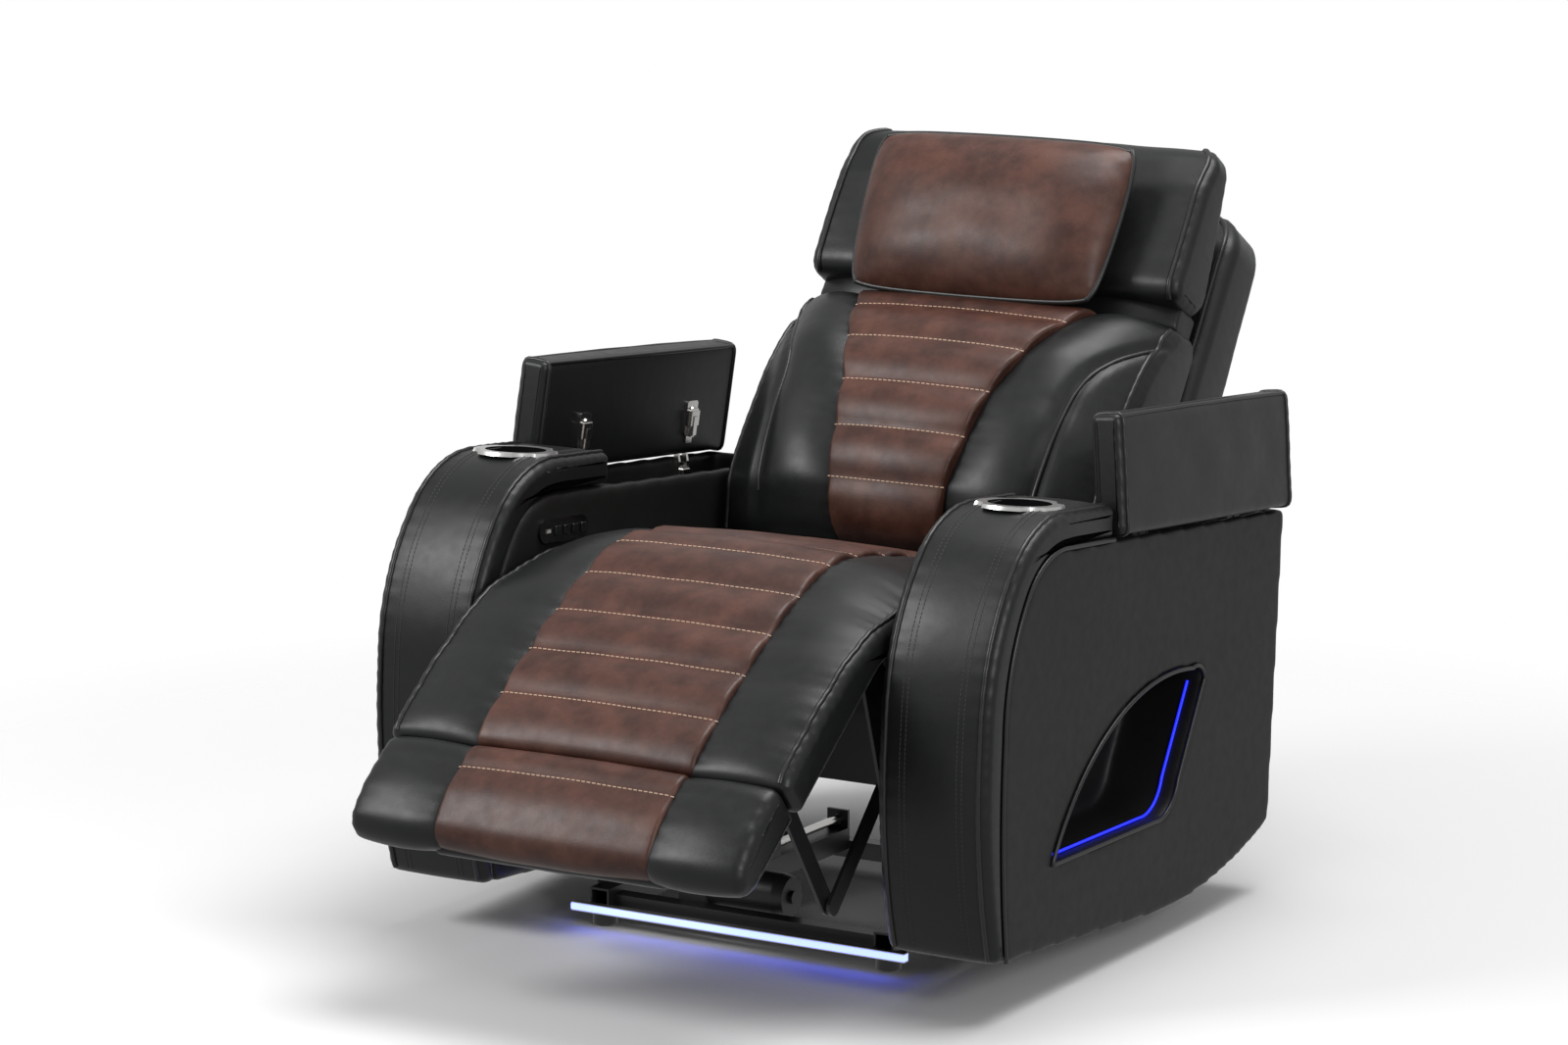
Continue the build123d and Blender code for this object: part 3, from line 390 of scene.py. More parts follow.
# A welt or a light line along points already in place
def tube(name, points, radius, look, closed=False):
    line = bpy.data.curves.new(name, "CURVE")
    line.dimensions = "3D"
    line.bevel_depth = radius
    line.bevel_resolution = 2
    line.use_fill_caps = True
    spline = line.splines.new("POLY")
    spline.points.add(len(points) - 1)
    for point, at in zip(spline.points, points):
        point.co = (*at, 1.0)
    spline.use_cyclic_u = closed
    holder = addObject(name + "Line", line)
    data = finishedMesh(holder)
    bpy.data.objects.remove(holder)
    data.name = name
    data.materials.clear()
    data.materials.append(looks[look])
    data.shade_smooth()
    return addObject(name, data)


# Geometry nodes that lay short threads along a line at a pitch
def stitchGroup():
    group = bpy.data.node_groups.new("stitchRun", "GeometryNodeTree")
    sizes = {"Pitch": "Float", "Length": "Float", "Radius": "Float"}
    for name, kind in {"Line": "Geometry", **sizes, "Thread": "Material"}.items():
        group.interface.new_socket(name, in_out="INPUT", socket_type="NodeSocket" + kind)
    group.interface.new_socket("Mesh", in_out="OUTPUT", socket_type="NodeSocketGeometry")
    add = group.nodes.new
    link = group.links.new
    start, end = add("NodeGroupInput"), add("NodeGroupOutput")
    toCurve = add("GeometryNodeMeshToCurve")
    resample = add("GeometryNodeResampleCurve")
    resample.mode = "LENGTH"
    link(start.outputs["Line"], toCurve.inputs["Mesh"])
    link(toCurve.outputs["Curve"], resample.inputs["Curve"])
    link(start.outputs["Pitch"], resample.inputs["Length"])
    thread = add("GeometryNodeMeshCylinder")
    thread.inputs["Vertices"].default_value = 6
    link(start.outputs["Radius"], thread.inputs["Radius"])
    link(start.outputs["Length"], thread.inputs["Depth"])
    tangent = add("GeometryNodeInputTangent")
    turn = add("FunctionNodeAlignEulerToVector")
    turn.axis = "Z"
    link(tangent.outputs["Tangent"], turn.inputs["Vector"])
    spread = add("GeometryNodeInstanceOnPoints")
    link(resample.outputs["Curve"], spread.inputs["Points"])
    link(thread.outputs["Mesh"], spread.inputs["Instance"])
    link(turn.outputs["Rotation"], spread.inputs["Rotation"])
    real = add("GeometryNodeRealizeInstances")
    paint = add("GeometryNodeSetMaterial")
    link(spread.outputs["Instances"], real.inputs["Geometry"])
    link(real.outputs["Geometry"], paint.inputs["Geometry"])
    link(start.outputs["Thread"], paint.inputs["Material"])
    link(paint.outputs["Geometry"], end.inputs["Mesh"])
    return group


stitchRun = stitchGroup()
stitchSockets = stitchRun.interface.items_tree
stitchInputs = {item.name: item.identifier for item in stitchSockets if item.in_out == "INPUT"}


# Threads along one or more lines of points already in place
def stitches(name, lines, look, pitch=0.0075, length=0.0052, radius=0.0009):
    data = bpy.data.meshes.new(name + "Lines")
    vertices, edges = [], []
    for line in lines:
        base = len(vertices)
        vertices += [tuple(p) for p in line]
        edges += [(base + i, base + i + 1) for i in range(len(line) - 1)]
    data.from_pydata(vertices, edges, [])
    holder = addObject(name + "Lines", data)
    run = holder.modifiers.new("stitches", "NODES")
    run.node_group = stitchRun
    run[stitchInputs["Pitch"]] = pitch
    run[stitchInputs["Length"]] = length
    run[stitchInputs["Radius"]] = radius
    run[stitchInputs["Thread"]] = looks[look]
    made = finishedMesh(holder)
    bpy.data.objects.remove(holder)
    made.name = name
    if not made.materials:
        made.materials.append(looks[look])
    return addObject(name, made)


def threadLines(grid, ring, points):
    return [grid[threadMargin:-threadMargin, nearestRow(ring, point)] for point in points]


# Seat and chaise: one pad whose outline runs over the footrest hinge, in a brown middle and two black sides
brownHalf = 164.0
padHalf = 302.0
lap = {
    "seatStitches": [(218, 502), (156, 517), (80, 528), (4, 538), (-70, 544), (-140, 538), (-214, 503)],
    "chaiseStitches": [(-44.8, 87), (-119.7, 93), (-200.2, 97), (-281, 93)],  # in the footrest's frame
    "chaiseUnder": [(-281, 32), (-40, 32)],
    "seatUnder": [(-196, 455), (-150, 440), (-100, 417), (232, 417), (234, 470)],
    "bend": ((0, -125, 490), (0, -262, 440)),
    "brownBulge": 9,
    "brown": {"edge": 6, "crown": 4, "soften": 2, "gather": 0.35},
    "sideBulge": 3,
    "sideDrop": 5,
    "sideFall": 36,  # how far the sides slope down towards the arms
    "fallUp": (430, 80),  # where the slope sets in: start, length and least share
    "fallFront": (-330, 180),
    "fallRear": (250, -120, 0.35),
    "underlap": 13,
    "side": {"edge": 13, "crown": 9, "soften": 4, "gather": 1.4},
    "weltRadius": 0.0035,
}


def fromFoot(y, z):
    hingeY, hingeZ = stance["footHinge"]
    c, s = math.cos(math.radians(stance["footAngle"])), math.sin(math.radians(stance["footAngle"]))
    return hingeY + y * c - z * s, hingeZ + y * s + z * c


lapTop = lap["seatStitches"] + [fromFoot(*p) for p in lap["chaiseStitches"]]


def lapOutline(bulge, drop):
    top = [(y, z - drop) for y, z in lapTop]
    points = channels(top, -bulge)
    under = [top[-1], *(fromFoot(*p) for p in lap["chaiseUnder"]), *lap["seatUnder"], top[0]]
    return points + samplePath(under), len(points)


def lapSlope(grid):
    x, y, z = grid[..., 0], grid[..., 1], grid[..., 2]
    t = ramp(np.abs(x), brownHalf, padHalf - brownHalf)
    share = ramp(z, *lap["fallUp"]) * ramp(y, *lap["fallFront"]) * ramp(y, *lap["fallRear"])
    return np.stack((x, y, z - share * lap["sideFall"] * t ** 1.5), -1)


def bendWithFootrest(piece):
    bendStart, bendEnd = placed(carriage, lap["bend"])
    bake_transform(piece)
    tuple(bendStart)
    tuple(bendEnd)


outline, face = lapOutline(lap["brownBulge"], 0)
piece, grid, ring = pad("lapCenter", carriage, outline, face, evenSpan(-brownHalf, brownHalf), "brown",
                        **lap["brown"])
upholstery(piece, 0.75, "seat_center_panel", "chaise_center_panel")
bendWithFootrest(piece)
bendWithFootrest(stitches("lapThread", threadLines(grid, ring, lapTop[1:-1]), "thread"))
for side, word in sides:
    outline, face = lapOutline(lap["sideBulge"], lap["sideDrop"])
    span = evenSpan(side * (brownHalf - lap["underlap"]), side * padHalf)
    piece, grid, ring = pad(f"lapSide_{word}", carriage, outline, face, span, "black", shape=lapSlope,
                            **lap["side"])
    upholstery(piece, 0.7, f"seat_side_panel_{word}", f"chaise_side_panel_{word}")
    bendWithFootrest(piece)
    bendWithFootrest(tube(f"lapWelt_{word}", grid[weltColumns[side], 2:face], lap["weltRadius"], "welt"))
print("seat and chaise made")

# Ottoman at the end of the footrest, with a band under its front edge
ottoman = {
    "stitches": [(-283, 93), (-327, 97), (-398, 88)],
    "nose": (-426, 60),
    "under": [(-404, 30), (-283, 30)],
    "brownBulge": 7,
    "brownInset": 2,
    "brown": {"edge": 6, "crown": 4, "soften": 3, "gather": 0.35},
    "sideBulge": 4,
    "sideDrop": 4,
    "sideInset": 6,
    "underlap": 15,
    "side": {"edge": 15, "crown": 7, "soften": 4},
    "band": [(-421, 50), (-426, 40), (-419, 27), (-402, 23), (-372, 25), (-372, 33), (-402, 33), (-411, 44),
             (-421, 50)],
    "bandFace": 12,
    "bandOver": 6,
    "bandFeel": {"edge": 3, "soften": 2, "wander": 0.8, "gather": 0.2},
}


def ottomanOutline(bulge, drop):
    top = [(y, z - drop) for y, z in ottoman["stitches"]]
    points = channels(top, -bulge) + sampleArc(top[-1], ottoman["nose"], ottoman["under"][0])
    return points + samplePath([*ottoman["under"], top[0]]), len(points)


outline, face = ottomanOutline(ottoman["brownBulge"], 0)
brownEnd = brownHalf - ottoman["brownInset"]
piece, grid, ring = pad("ottomanCenter", footrest, outline, face, evenSpan(-brownEnd, brownEnd), "brown",
                        **ottoman["brown"])
upholstery(piece, 0.75, "ottoman_center_panel")
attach(piece, "footrest")
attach(stitches("ottomanThread", threadLines(grid, ring, ottoman["stitches"][1:-1]), "thread"), "footrest")
for side, word in sides:
    outline, face = ottomanOutline(ottoman["sideBulge"], ottoman["sideDrop"])
    span = evenSpan(side * (brownHalf - ottoman["underlap"]), side * (padHalf - ottoman["sideInset"]))
    piece, grid, ring = pad(f"ottomanSide_{word}", footrest, outline, face, span, "black", **ottoman["side"])
    upholstery(piece, 0.7, f"ottoman_side_panel_{word}")
    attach(piece, "footrest")
bandEnd = brownHalf + ottoman["bandOver"]
piece, grid, ring = pad("ottomanBand", footrest, samplePath(ottoman["band"], 4), ottoman["bandFace"],
                        evenSpan(-bandEnd, bandEnd), "black", **ottoman["bandFeel"])
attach(piece, "footrest")
print("ottoman made")

# Lower back: tapered brown middle between two bolsters
lowerBack = {
    "stitches": [(-112, 42), (-157, 106), (-163, 182), (-158, 255), (-144, 329), (-103, 397), (-62, 438)],
    "taperZ": [32, 106, 182, 255, 329, 397, 454],
    "taperX": [84, 92, 103, 117, 141, 169, 192],
    "rear": [(20, 448), (49, 430), (49, 38)],
    "foot": (22, 36),  # depth and height where the rear meets the lowest stitch
    "brownBulge": 11,
    "brown": {"edge": 6, "crown": 6, "soften": 2, "gather": 0.35},
    "sideBulge": 2,
    "sideDrop": 8,
    "underlap": 10,
    "side": {"edge": 12, "crown": 6, "soften": 5, "wander": 3, "gather": 0.9},
    "fallBack": 74,  # how far the bolsters' outer edges fall back
    "fallDepth": (40, -180),  # where that sets in, from the rear: start and length
    "swell": 10,
    "creaseFrom": 0.6,  # where the crease stands, as a share of the bolster's width
    "creaseArch": (270, 140),  # where it arches out to the edge: start and length
    "creaseDepth": 10,
    "creaseWidth": 8,
    "creaseEnd": 0.9,
    "weltRadius": 0.0038,
    "creaseRadius": 0.0034,
    "rearWelt": ((49, 425), (49, 60)),
    "rearWeltRadius": 0.0035,
}


def backOutline(bulge, drop):
    front = [(y + drop, z) for y, z in lowerBack["stitches"]]
    points = channels(front, bulge)
    footDepth, footZ = lowerBack["foot"]
    rear = [front[-1], *lowerBack["rear"], (front[0][0] + footDepth, footZ), front[0]]
    return points + samplePath(rear), len(points)


def taper(z):
    return np.interp(z, lowerBack["taperZ"], lowerBack["taperX"])


# Where the crease runs across the bolster, from 0 at the brown panel to 1 at the outer edge
def creaseArch(z):
    return lowerBack["creaseFrom"] + (1 - lowerBack["creaseFrom"]) * ramp(z, *lowerBack["creaseArch"]) ** 2


def bolsterShape(grid):
    x, y, z = grid[..., 0], grid[..., 1], grid[..., 2]
    inner = taper(z)
    t = ramp(np.abs(x), inner, padHalf - inner)
    front = ramp(y, *lowerBack["fallDepth"])
    y = y + front * (lowerBack["fallBack"] * t ** 2.1 - lowerBack["swell"] * np.sin(np.pi * t))
    fromCrease = (t - creaseArch(z)) * (padHalf - inner)
    y = y + front * lowerBack["creaseDepth"] * np.exp(-(fromCrease / lowerBack["creaseWidth"]) ** 2)
    return np.stack((x, y, z), -1)


def bolsterSpan(side):
    def span(y, z):
        return tuple(sorted((side * (taper(z) - lowerBack["underlap"]), side * padHalf)))
    return span


# Points on a finished bolster along its crease, left out where the crease nears the outer edge
def creaseLine(grid, face):
    local = np.array(backrest.inverted())
    at = grid @ local[:3, :3].T + local[:3, 3]
    line = []
    for row in range(10, face - 6, 2):
        z = float(at[len(at) // 2, row, 2])
        arch = creaseArch(z)
        if arch > lowerBack["creaseEnd"]:
            continue
        across = np.abs(at[:, row, 0])
        order = np.argsort(across)
        goal = taper(z) + arch * (padHalf - taper(z))
        line.append([np.interp(goal, across[order], grid[order, row, k]) for k in range(3)])
    return line


outline, face = backOutline(lowerBack["brownBulge"], 0)
piece, grid, ring = pad("backCenter", backrest, outline, face, lambda y, z: (-taper(z), taper(z)), "brown",
                        **lowerBack["brown"])
upholstery(piece, 0.8, "back_center_panel")
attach(piece, "back")
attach(stitches("backThread", threadLines(grid, ring, lowerBack["stitches"][1:-1]), "thread"), "back")
for side, word in sides:
    outline, face = backOutline(lowerBack["sideBulge"], lowerBack["sideDrop"])
    piece, grid, ring = pad(f"backBolster_{word}", backrest, outline, face, bolsterSpan(side), "black",
                            shape=bolsterShape, **lowerBack["side"])
    upholstery(piece, 0.7, f"back_side_bolster_{word}")
    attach(piece, "back")
    outerEdge = grid[weltColumns[side]]
    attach(tube(f"bolsterWelt_{word}", outerEdge[2:face], lowerBack["weltRadius"], "welt"), "back")
    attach(tube(f"bolsterCrease_{word}", creaseLine(grid, face), lowerBack["creaseRadius"], "welt"), "back")
    top, bottom = (nearestRow(ring, point) for point in lowerBack["rearWelt"])
    rearEdge = outerEdge[top:bottom]
    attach(tube(f"bolsterRearWelt_{word}", rearEdge, lowerBack["rearWeltRadius"], "welt"), "back")

# Flap that closes the gap between the seat and the back
seatFlap = {
    "corners": [(226, 482), (262, 470), (300, 484), (330, 498), (334, 486), (300, 472), (262, 458),
                (226, 468), (226, 482)],
    "face": 26,
    "half": 297,
    "feel": {"edge": 4, "soften": 4, "wander": 2.5, "gather": 0.4},
    "bend": ((0, 238, 470), (0, 318, 490)),
}
piece, grid, ring = pad("seatBackFlap", carriage, samplePath(seatFlap["corners"], 4), seatFlap["face"],
                        evenSpan(-seatFlap["half"], seatFlap["half"]), "black", **seatFlap["feel"])
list(placed(carriage, seatFlap["bend"]))
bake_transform(piece)
print("lower back made")

# Headrest cushion
headrest = {
    "corners": [(-46, 471), (-60, 488), (-62, 640), (-48, 700), (-28, 721), (-10, 721), (24, 590), (41, 502),
                (20, 473), (-46, 471)],
    "half": 300,
    "top": 722,
    "corner": 40.0,
    "feel": {"edge": 16, "crown": 3, "soften": 4, "wander": 2, "gather": 0.6},
    "frontWelt": ((-46, 474), (-12, 720)),
    "frontWeltRadius": 0.004,
    "rearWelt": ((-10, 715), (44, 480)),
    "rearWeltRadius": 0.0035,
}
outline = samplePath(headrest["corners"])
span = roundedSpan(headrest["half"], headrest["top"], headrest["corner"])
piece, grid, ring = pad("headrestCushion", backrest, outline, len(outline), span, "black",
                        corner=headrest["corner"], **headrest["feel"])
upholstery(piece, 0.8, "headrest_cushion")
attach(piece, "headrest")
frontStart, frontEnd = (nearestRow(ring, point) for point in headrest["frontWelt"])
rearStart, rearEnd = (nearestRow(ring, point) for point in headrest["rearWelt"])
for side, word in sides:
    frontEdge = grid[weltColumns[side], frontStart:frontEnd]
    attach(tube(f"headWelt_{word}", frontEdge, headrest["frontWeltRadius"], "welt"), "headrest")
    rearEdge = grid[weltColumns[side], rearStart:rearEnd]
    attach(tube(f"headRearWelt_{word}", rearEdge, headrest["rearWeltRadius"], "welt"), "headrest")

# Flap that closes the gap between the lower back and the headrest
neck = {
    "corners": [(-38, 440), (-41, 459), (-38, 480), (10, 480), (10, 440), (-38, 440)],
    "face": 10,
    "half": 291,
    "feel": {"edge": 4, "soften": 3, "wander": 2, "gather": 0.4},
    "fallFrom": 192,  # its ends fall back from here, as the bolsters do
    "fallBack": 32,
    "bend": ((0, -15, 446), (0, -15, 474)),
}


def neckShape(grid):
    x, y, z = grid[..., 0], grid[..., 1], grid[..., 2]
    t = ramp(np.abs(x), neck["fallFrom"], padHalf - neck["fallFrom"])
    return np.stack((x, y + neck["fallBack"] * t ** 2.1, z), -1)


piece, grid, ring = pad("headrestFlap", backrest, samplePath(neck["corners"], 4), neck["face"],
                        evenSpan(-neck["half"], neck["half"]), "black", shape=neckShape, **neck["feel"])
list(placed(backrest, neck["bend"]))
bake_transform(piece)

# Pillow: a rounded rectangle swollen to both sides, with soft pulls at its edge
pillow = {
    "at": (0, -105, 551),
    "tip": 5,
    "halfX": 212,
    "halfZ": 123,
    "front": 52,
    "rear": 45,
    "points": 44,  # along each side
    "weltRadius": 0.0042,
}


def pillowPoint(u, v, depth):
    pinch = 1 - 0.03 * (u * u * v * v)
    grow = pinch * (0.97 + 0.03 * v)
    x = pillow["halfX"] * u * math.sqrt(1 - 0.07 * v ** 8) * grow
    z = pillow["halfZ"] * v * math.sqrt(1 - 0.10 * u ** 8) * pinch
    full = (max(0.0, 1 - abs(u) ** 3.2) ** 0.55) * (max(0.0, 1 - abs(v) ** 2.6) ** 0.6)
    pull = noise.noise(Vector((u * 9, v * 9, depth))) * 2.2 * (1 - full)
    swell = noise.noise(Vector((u * 2.2, v * 2.2, 7 + depth))) * 3.0 * full
    return x, depth * full + (pull + swell) * (1 if depth > 0 else -1) * min(1, full * 6), z


def pillowMesh(name, place, look):
    count = pillow["points"]
    values = np.sin(np.linspace(-1, 1, count) * math.pi / 2)
    vertices = []
    for depth in (-pillow["front"], pillow["rear"]):
        vertices += [pillowPoint(u, v, depth) for v in values for u in values]
    faces = []
    for layer in range(2):
        base = layer * count * count
        for j in range(count - 1):
            for i in range(count - 1):
                a = base + j * count + i
                faces.append((a, a + 1, a + count + 1, a + count))
    rim = list(range(count))
    rim += [j * count + count - 1 for j in range(1, count)]
    rim += [(count - 1) * count + i for i in range(count - 2, -1, -1)]
    rim += [j * count for j in range(count - 2, 0, -1)]
    made = addMesh(name, placed(place, vertices), faces, look)
    welder = bmesh.new()
    welder.from_mesh(made.data)
    bmesh.ops.remove_doubles(welder, verts=welder.verts[:], dist=1e-5)
    bmesh.ops.recalc_face_normals(welder, faces=welder.faces[:])
    welder.to_mesh(made.data)
    welder.free()
    return made, placed(place, [vertices[i] for i in rim])


pillowPlace = backrest @ Matrix.Translation(pillow["at"]) @ turned(pillow["tip"])
piece, rim = pillowMesh("headrestPillow", pillowPlace, "brown")
upholstery(piece, 0.8, "headrest_pillow")
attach(piece, "headrest")
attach(tube("pillowWelt", rim, pillow["weltRadius"], "welt", closed=True), "headrest")
print("headrest made")

# Back shell
shell = {
    "corners": [(62, -58), (62, 622), (92, 680), (154, 680), (168, 442), (158, -20), (118, -58), (62, -58)],
    "half": 304,
    "top": 682,
    "corner": 70.0,
    "feel": {"edge": 20, "crown": 3, "soften": 5, "wander": 1.5, "gather": 0.3},
    "welt": ((62, 0), (96, 680)),
    "weltRadius": 0.004,
}
outline = samplePath(shell["corners"], 8)
span = roundedSpan(shell["half"], shell["top"], shell["corner"])
piece, grid, ring = pad("backShell", backrest, outline, len(outline), span, "black", corner=shell["corner"],
                        **shell["feel"])
upholstery(piece, 0.9, "back_shell")
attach(piece, "back")
bottom, top = (nearestRow(ring, point) for point in shell["welt"])
for side, word in sides:
    frontEdge = grid[weltColumns[side], bottom:top]
    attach(tube(f"shellWelt_{word}", frontEdge, shell["weltRadius"], "welt"), "back")
print("back shell made")

# Arms: the constructed box drawn softer, a front pad over it, welts, seams and the pocket's light
arm = {
    "frontCurve": [((-205, 62), (-243, 200), (-255, 350)), ((-255, 350), (-243, 460), (-193, 560)),
                   ((-193, 560), (-137, 609), (-60, 629))],
    "innerCurve": [((-180, 62), (-202, 200), (-210, 350)), ((-210, 350), (-200, 451), (-161, 535)),
                   ((-161, 535), (-119, 571), (-60, 584))],
    "topEnd": (66, 629),
    "underEnd": (66, 585),
    "inside": 310,
    "outside": 472,
    "feel": {"edge": 13, "crown": 3, "soften": 3, "wander": 1.2, "gather": 0.8},
    "boxVoxel": 0.005,
    "boxRounds": 14,
    "seamColumns": (10, 11, -11, -12),
    "seam": {"pitch": 0.006, "length": 0.0042, "radius": 0.0008},
    "weltRadius": 0.0036,
    "sideX": 470.6,
    "sideWeltRadius": 0.0034,
}
cup = {"axis": (391, -50), "above": 560, "opening": 46, "reach": 60, "rim": 47, "inside": 41, "flange": 628}
pocket = {
    "upper": [((-66, 172), (92, 338), (318, 388)), ((318, 388), (345, 386), (356, 372))],
    "rear": ((356, 372), (290, 240)),
    "bend": ((290, 240), (268, 204), (226, 190)),
    "foot": ((226, 190), (-66, 172)),
    "weltRadius": 0.0032,
    "glowRear": ((350, 365), (286, 240)),
    "glowBend": ((286, 240), (265, 206), (226, 193)),
    "glowFoot": ((226, 193), (-36, 177)),
    "glowX": 448,
    "glowRadius": 0.0019,
}
pocketLine = sampleArcs(pocket["upper"]) + sampleLine(*pocket["rear"])
pocketLine += sampleArc(*pocket["bend"]) + sampleLine(*pocket["foot"])
glowLine = sampleLine(*pocket["glowRear"]) + sampleArc(*pocket["glowBend"]) + sampleLine(*pocket["glowFoot"])


def armPadOutline():
    topStart = arm["frontCurve"][-1][-1]
    points = sampleArcs(arm["frontCurve"]) + sampleLine(topStart, arm["topEnd"])
    underStart = (topStart[0], arm["underEnd"][1])
    under = samplePath([arm["topEnd"], arm["underEnd"], underStart])
    under += sampleArcs([(b, m, a) for a, m, b in reversed(arm["innerCurve"])])
    under += sampleLine(arm["innerCurve"][0][0], arm["frontCurve"][0][0])
    return points + under, len(points)


# A softened copy of a constructed solid, its edges drawn round
def softCopy(name, node, look, voxel, rounds):
    source = nodes[node]
    data = source.data.copy()
    data.transform(source.matrix_world)
    made = addObject(name, data)
    remesh = made.modifiers.new("remesh", "REMESH")
    remesh.mode = "VOXEL"
    remesh.voxel_size = voxel
    ease = made.modifiers.new("ease", "SMOOTH")
    ease.factor = 0.5
    ease.iterations = rounds
    final = finishedMesh(made)
    made.modifiers.clear()
    made.data = final
    final.materials.clear()
    final.materials.append(looks[look])
    final.shade_smooth()
    return made


# Opens the pad round the cup holder, the edge lying under its flange
def openCup(piece, side):
    back = carriage.inverted()
    axis = Vector((side * cup["axis"][0], cup["axis"][1]))
    opener = bmesh.new()
    opener.from_mesh(piece.data)
    gone = []
    for f in opener.faces:
        at = back @ f.calc_center_median()
        if at.z > cup["above"] and (at.xy - axis).length < cup["opening"]:
            gone.append(f)
    bmesh.ops.delete(opener, geom=gone, context="FACES")
    for v in opener.verts:
        at = back @ v.co
        away = at.xy - axis
        if v.is_boundary and at.z > cup["above"] and away.length < cup["reach"]:
            away = axis + away.normalized() * cup["rim"]
            v.co = carriage @ Vector((away.x, away.y, at.z))
    opener.to_mesh(piece.data)
    opener.free()


def makeArm(side, word):
    box = softCopy(f"armBox_{word}", f"arm_box_{word}", "side", arm["boxVoxel"], arm["boxRounds"])
    upholstery(box, 0.9, f"arm_box_{word}")
    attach(box, "carriage")
    outline, face = armPadOutline()
    span = evenSpan(side * arm["inside"], side * arm["outside"])
    front, grid, ring = pad(f"armFrontPad_{word}", carriage, outline, face, span, "black", **arm["feel"])
    upholstery(front, 0.85, f"arm_front_pad_{word}")
    openCup(front, side)
    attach(front, "carriage")
    for label, end in (("low", -1), ("high", 1)):
        line = grid[weltColumns[end], 1:face]
        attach(tube(f"armWelt_{word}_{label}", line, arm["weltRadius"], "welt"), "carriage")
    seams = [grid[column, 2:face - 2] for column in arm["seamColumns"]]
    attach(stitches(f"armThread_{word}", seams, "darkThread", **arm["seam"]), "carriage")

    def onSide(x, points):
        return placed(carriage, [(side * x, y, z) for y, z in points])

    rim = onSide(arm["sideX"], pocketLine)
    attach(tube(f"pocketWelt_{word}", rim, pocket["weltRadius"], "welt", closed=True), "carriage")
    glow = tube(f"pocketGlow_{word}", onSide(pocket["glowX"], glowLine), pocket["glowRadius"], "pocket")
    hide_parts("pocket_lights")
    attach(glow, "carriage")
    seamStart = arm["innerCurve"][-1][-1]
    seamEnd = (arm["topEnd"][0], seamStart[1])
    sideSeam = sampleArcs(arm["innerCurve"]) + sampleLine(seamStart, seamEnd) + [seamEnd]
    welt = tube(f"sideWelt_{word}", onSide(arm["sideX"], sideSeam), arm["sideWeltRadius"], "welt")
    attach(welt, "carriage")


# Lids, in a frame on their hinge axis
lid = {
    "low": -15.5,
    "high": 27.5,
    "inner": 311 - stance["lidHinge"][0],
    "outer": 14.5,
    "front": 70,
    "rear": 582,
    "face": 26,
    "feel": {"edge": 10, "crown": 4, "soften": 3, "wander": 1.5, "gather": 0.5},
    "weltRadius": 0.003,
}
hinge = {
    "places": (185, 470),
    "bevel": 3,
    "arm": {"x": -31, "z": -21.5, "size": (34, 15, 11)},
    "cap": {"x": -42, "z": -21, "size": (28, 27, 9)},
    "foot": {"x": 441, "z": 552, "size": (10, 24, 32)},
}
lengthways = Matrix(((0, 1, 0, 0), (1, 0, 0, 0), (0, 0, 1, 0), (0, 0, 0, 1)))  # a pad's width runs along Y


# A bevelled nickel block of a hinge, in the frame of the lid or the carriage
def hingeBlock(name, place, side, y, block):
    maker = bmesh.new()
    bmesh.ops.create_cube(maker, size=1.0)
    bmesh.ops.scale(maker, vec=block["size"], verts=maker.verts[:])
    bmesh.ops.bevel(maker, geom=maker.edges[:], offset=hinge["bevel"], segments=3, affect="EDGES")
    data = bpy.data.meshes.new(name)
    maker.to_mesh(data)
    maker.free()
    data.transform(place @ Matrix.Translation((side * block["x"], y, block["z"])))
    data.materials.append(looks["nickel"])
    return addObject(name, data)


def makeLid(side, word):
    body = f"lid_{word}"
    low, high, inner, outer = lid["low"], lid["high"], lid["inner"], lid["outer"]
    corners = [(inner, high), (outer, high), (outer, low), (inner, low), (inner, high)]
    outline = [(side * x, z) for x, z in samplePath(corners)]
    place = lidFrame(side)
    piece, grid, ring = pad(f"armLid_{word}", place @ lengthways, outline, lid["face"],
                            evenSpan(lid["front"], lid["rear"]), "black", **lid["feel"])
    upholstery(piece, 0.85, f"arm_lid_{word}")
    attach(piece, body)
    for index, y in enumerate(hinge["places"]):
        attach(hingeBlock(f"hingeArm_{word}_{index}", place, side, y, hinge["arm"]), body)
        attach(hingeBlock(f"hingeCap_{word}_{index}", place, side, y, hinge["cap"]), body)
        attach(hingeBlock(f"hingeFoot_{word}_{index}", carriage, side, y, hinge["foot"]), "carriage")
    for label, end in (("front", -1), ("rear", 1)):
        line = grid[weltColumns[end]]
        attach(tube(f"lidWelt_{word}_{label}", line, lid["weltRadius"], "welt", closed=True), body)
    inside = padding["roundSteps"]
    for label, z in (("upper", high), ("under", low)):
        line = grid[inside:-inside, nearestRow(ring, (side * inner, z))]
        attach(tube(f"lidEdge_{word}_{label}", line, lid["weltRadius"], "welt"), body)


for side, word in sides:
    makeArm(side, word)
    makeLid(side, word)
print("arms and lids made")

# Constructed pieces that show as they are: the look for each start of a name, steel for the rest
nodeLooks = {
    "cup_holder": "silver", "light_bar_channel": "silver", "light_bar_diffuser": "light",
    "lid_hinge": "nickel", "arm_spacer": "nickel", "lead_screw": "nickel", "usb_port": "nickel",
    "seat_rail": "plastic", "seat_deck": "plastic", "footrest_board": "plastic", "floor_glides": "plastic",
    "gearbox": "plastic", "motor_end_cap": "plastic", "actuator_slider": "plastic",
    "control_panel": "gloss", "button": "gloss",
}


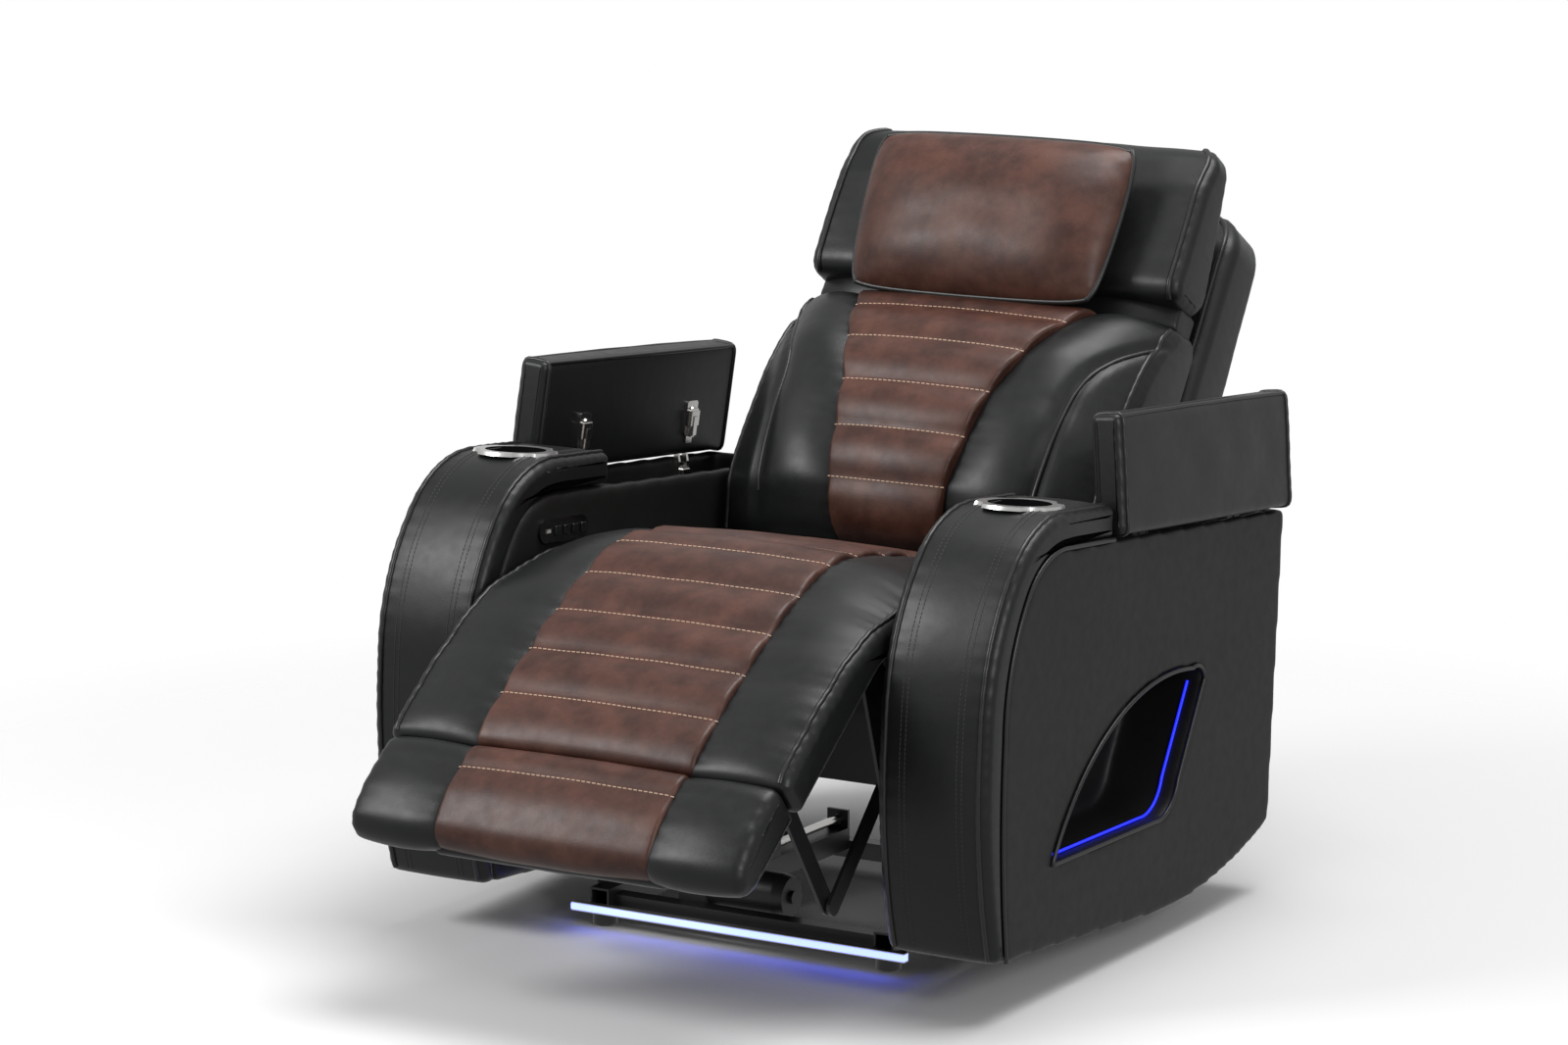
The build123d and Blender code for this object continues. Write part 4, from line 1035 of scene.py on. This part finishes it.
# The cup's flange stays silver and its inside is black
def darkenCup(node):
    node.data.materials.append(looks["gloss"])
    local = carriage.inverted() @ node.matrix_world
    for f in node.data.polygons:
        at = local @ f.center
        away = Vector((abs(at.x), at.y)) - Vector(cup["axis"])
        if at.z < cup["flange"] or away.length < cup["inside"]:
            f.material_index = 1


for name, node in nodes.items():
    look = next((v for k, v in nodeLooks.items() if name.startswith(k)), "steel")
    node.data.materials.clear()
    node.data.materials.append(looks[look])
    if name.startswith("cup_holder"):
        darkenCup(node)
print("constructed pieces finished")

# Stage: pale floor that fades out, white surround, soft lights, camera
studio = {
    "floorHalf": 30,
    "floorTone": (0.93, 0.93, 0.93),
    "floorFade": (1.7, 0.85),  # whole near the chair, then less with each metre
    "ambient": 0.20,
    "mirrored": 0.45,  # how much of the white surround shows in reflections
    "lights": {
        "keyLight": {"at": (-2.8, -3.2, 3.2), "target": (0, 0, 0.6), "size": 1.8, "power": 135},
        "rightLight": {"at": (4.2, -2.2, 2.2), "target": (0, 0, 0.5), "size": 1.4, "power": 62},
        "topLight": {"at": (0.6, 0.6, 4.2), "target": (0, 0, 0.5), "size": 2.4, "power": 130},
    },
    "azimuth": 31,
    "elevation": 10.65,
    "cameraAt": (3.39, -5.581 - stance["middleY"] * mm, 1.80),
    "lens": 114.75,
}


def makeFloor():
    half = studio["floorHalf"]
    corners = [(-half, -half, 0), (half, -half, 0), (half, half, 0), (-half, half, 0)]
    looks["floor"] = material("paleFloor", studio["floorTone"], 0.7)
    floor = addMesh("floor", corners, [(0, 1, 2, 3)], "floor", smooth=False)
    tree = looks["floor"].node_tree
    place = Wire(tree, shaderNode(tree, "ShaderNodeTexCoord").outputs["Object"])
    away = shaderNode(tree, "ShaderNodeVectorMath", {"Vector": place}, operation="LENGTH")
    start, slope = studio["floorFade"]
    fade = (start - Wire(tree, away.outputs["Value"]) * slope).math("MULTIPLY", 1.0, clamp=True)
    tree.links.new(fade.socket, tree.nodes["Principled BSDF"].inputs["Alpha"])
    floor.visible_diffuse = False
    floor.visible_glossy = False


def makeWorld():
    world = bpy.data.worlds.new("studio")
    bpy.context.scene.world = world
    world.use_nodes = True
    tree = world.node_tree
    tree.nodes.clear()
    rays = shaderNode(tree, "ShaderNodeLightPath").outputs
    seen = Wire(tree, rays["Is Camera Ray"]) + Wire(tree, rays["Is Transmission Ray"])
    seen = seen + Wire(tree, rays["Is Glossy Ray"]) * studio["mirrored"]
    soft = shaderNode(tree, "ShaderNodeBackground", {"Color": (1, 1, 1, 1), "Strength": studio["ambient"]})
    plain = shaderNode(tree, "ShaderNodeBackground", {"Color": (1, 1, 1, 1), "Strength": 1.0})
    mix = shaderNode(tree, "ShaderNodeMixShader", {"Fac": seen.math("MINIMUM", 1.0)})
    out = shaderNode(tree, "ShaderNodeOutputWorld")
    tree.links.new(soft.outputs["Background"], mix.inputs[1])
    tree.links.new(plain.outputs["Background"], mix.inputs[2])
    tree.links.new(mix.outputs["Shader"], out.inputs["Surface"])


def areaLight(name, at, target, size, power):
    lamp = bpy.data.lights.new(name, "AREA")
    lamp.size = size
    lamp.energy = power
    made = addObject(name, lamp)
    made.location = at
    made.rotation_euler = (Vector(target) - Vector(at)).to_track_quat("-Z", "Y").to_euler()


def makeCamera():
    azimuth, elevation = math.radians(studio["azimuth"]), math.radians(studio["elevation"])
    level = math.cos(elevation)
    back = Vector((math.sin(azimuth) * level, -math.cos(azimuth) * level, math.sin(elevation)))
    camera = addObject("camera", bpy.data.cameras.new("camera"))
    camera.location = studio["cameraAt"]
    camera.rotation_euler = (-back).to_track_quat("-Z", "Y").to_euler()
    camera.data.lens = studio["lens"]
    camera.data.sensor_width = 36
    camera.data.sensor_fit = "HORIZONTAL"
    camera.data.clip_end = 100
    bpy.context.scene.camera = camera


makeFloor()
makeWorld()
for name, light in studio["lights"].items():
    areaLight(name, **light)
makeCamera()
bpy.context.scene.view_settings.view_transform = "Standard"
print("stage made")
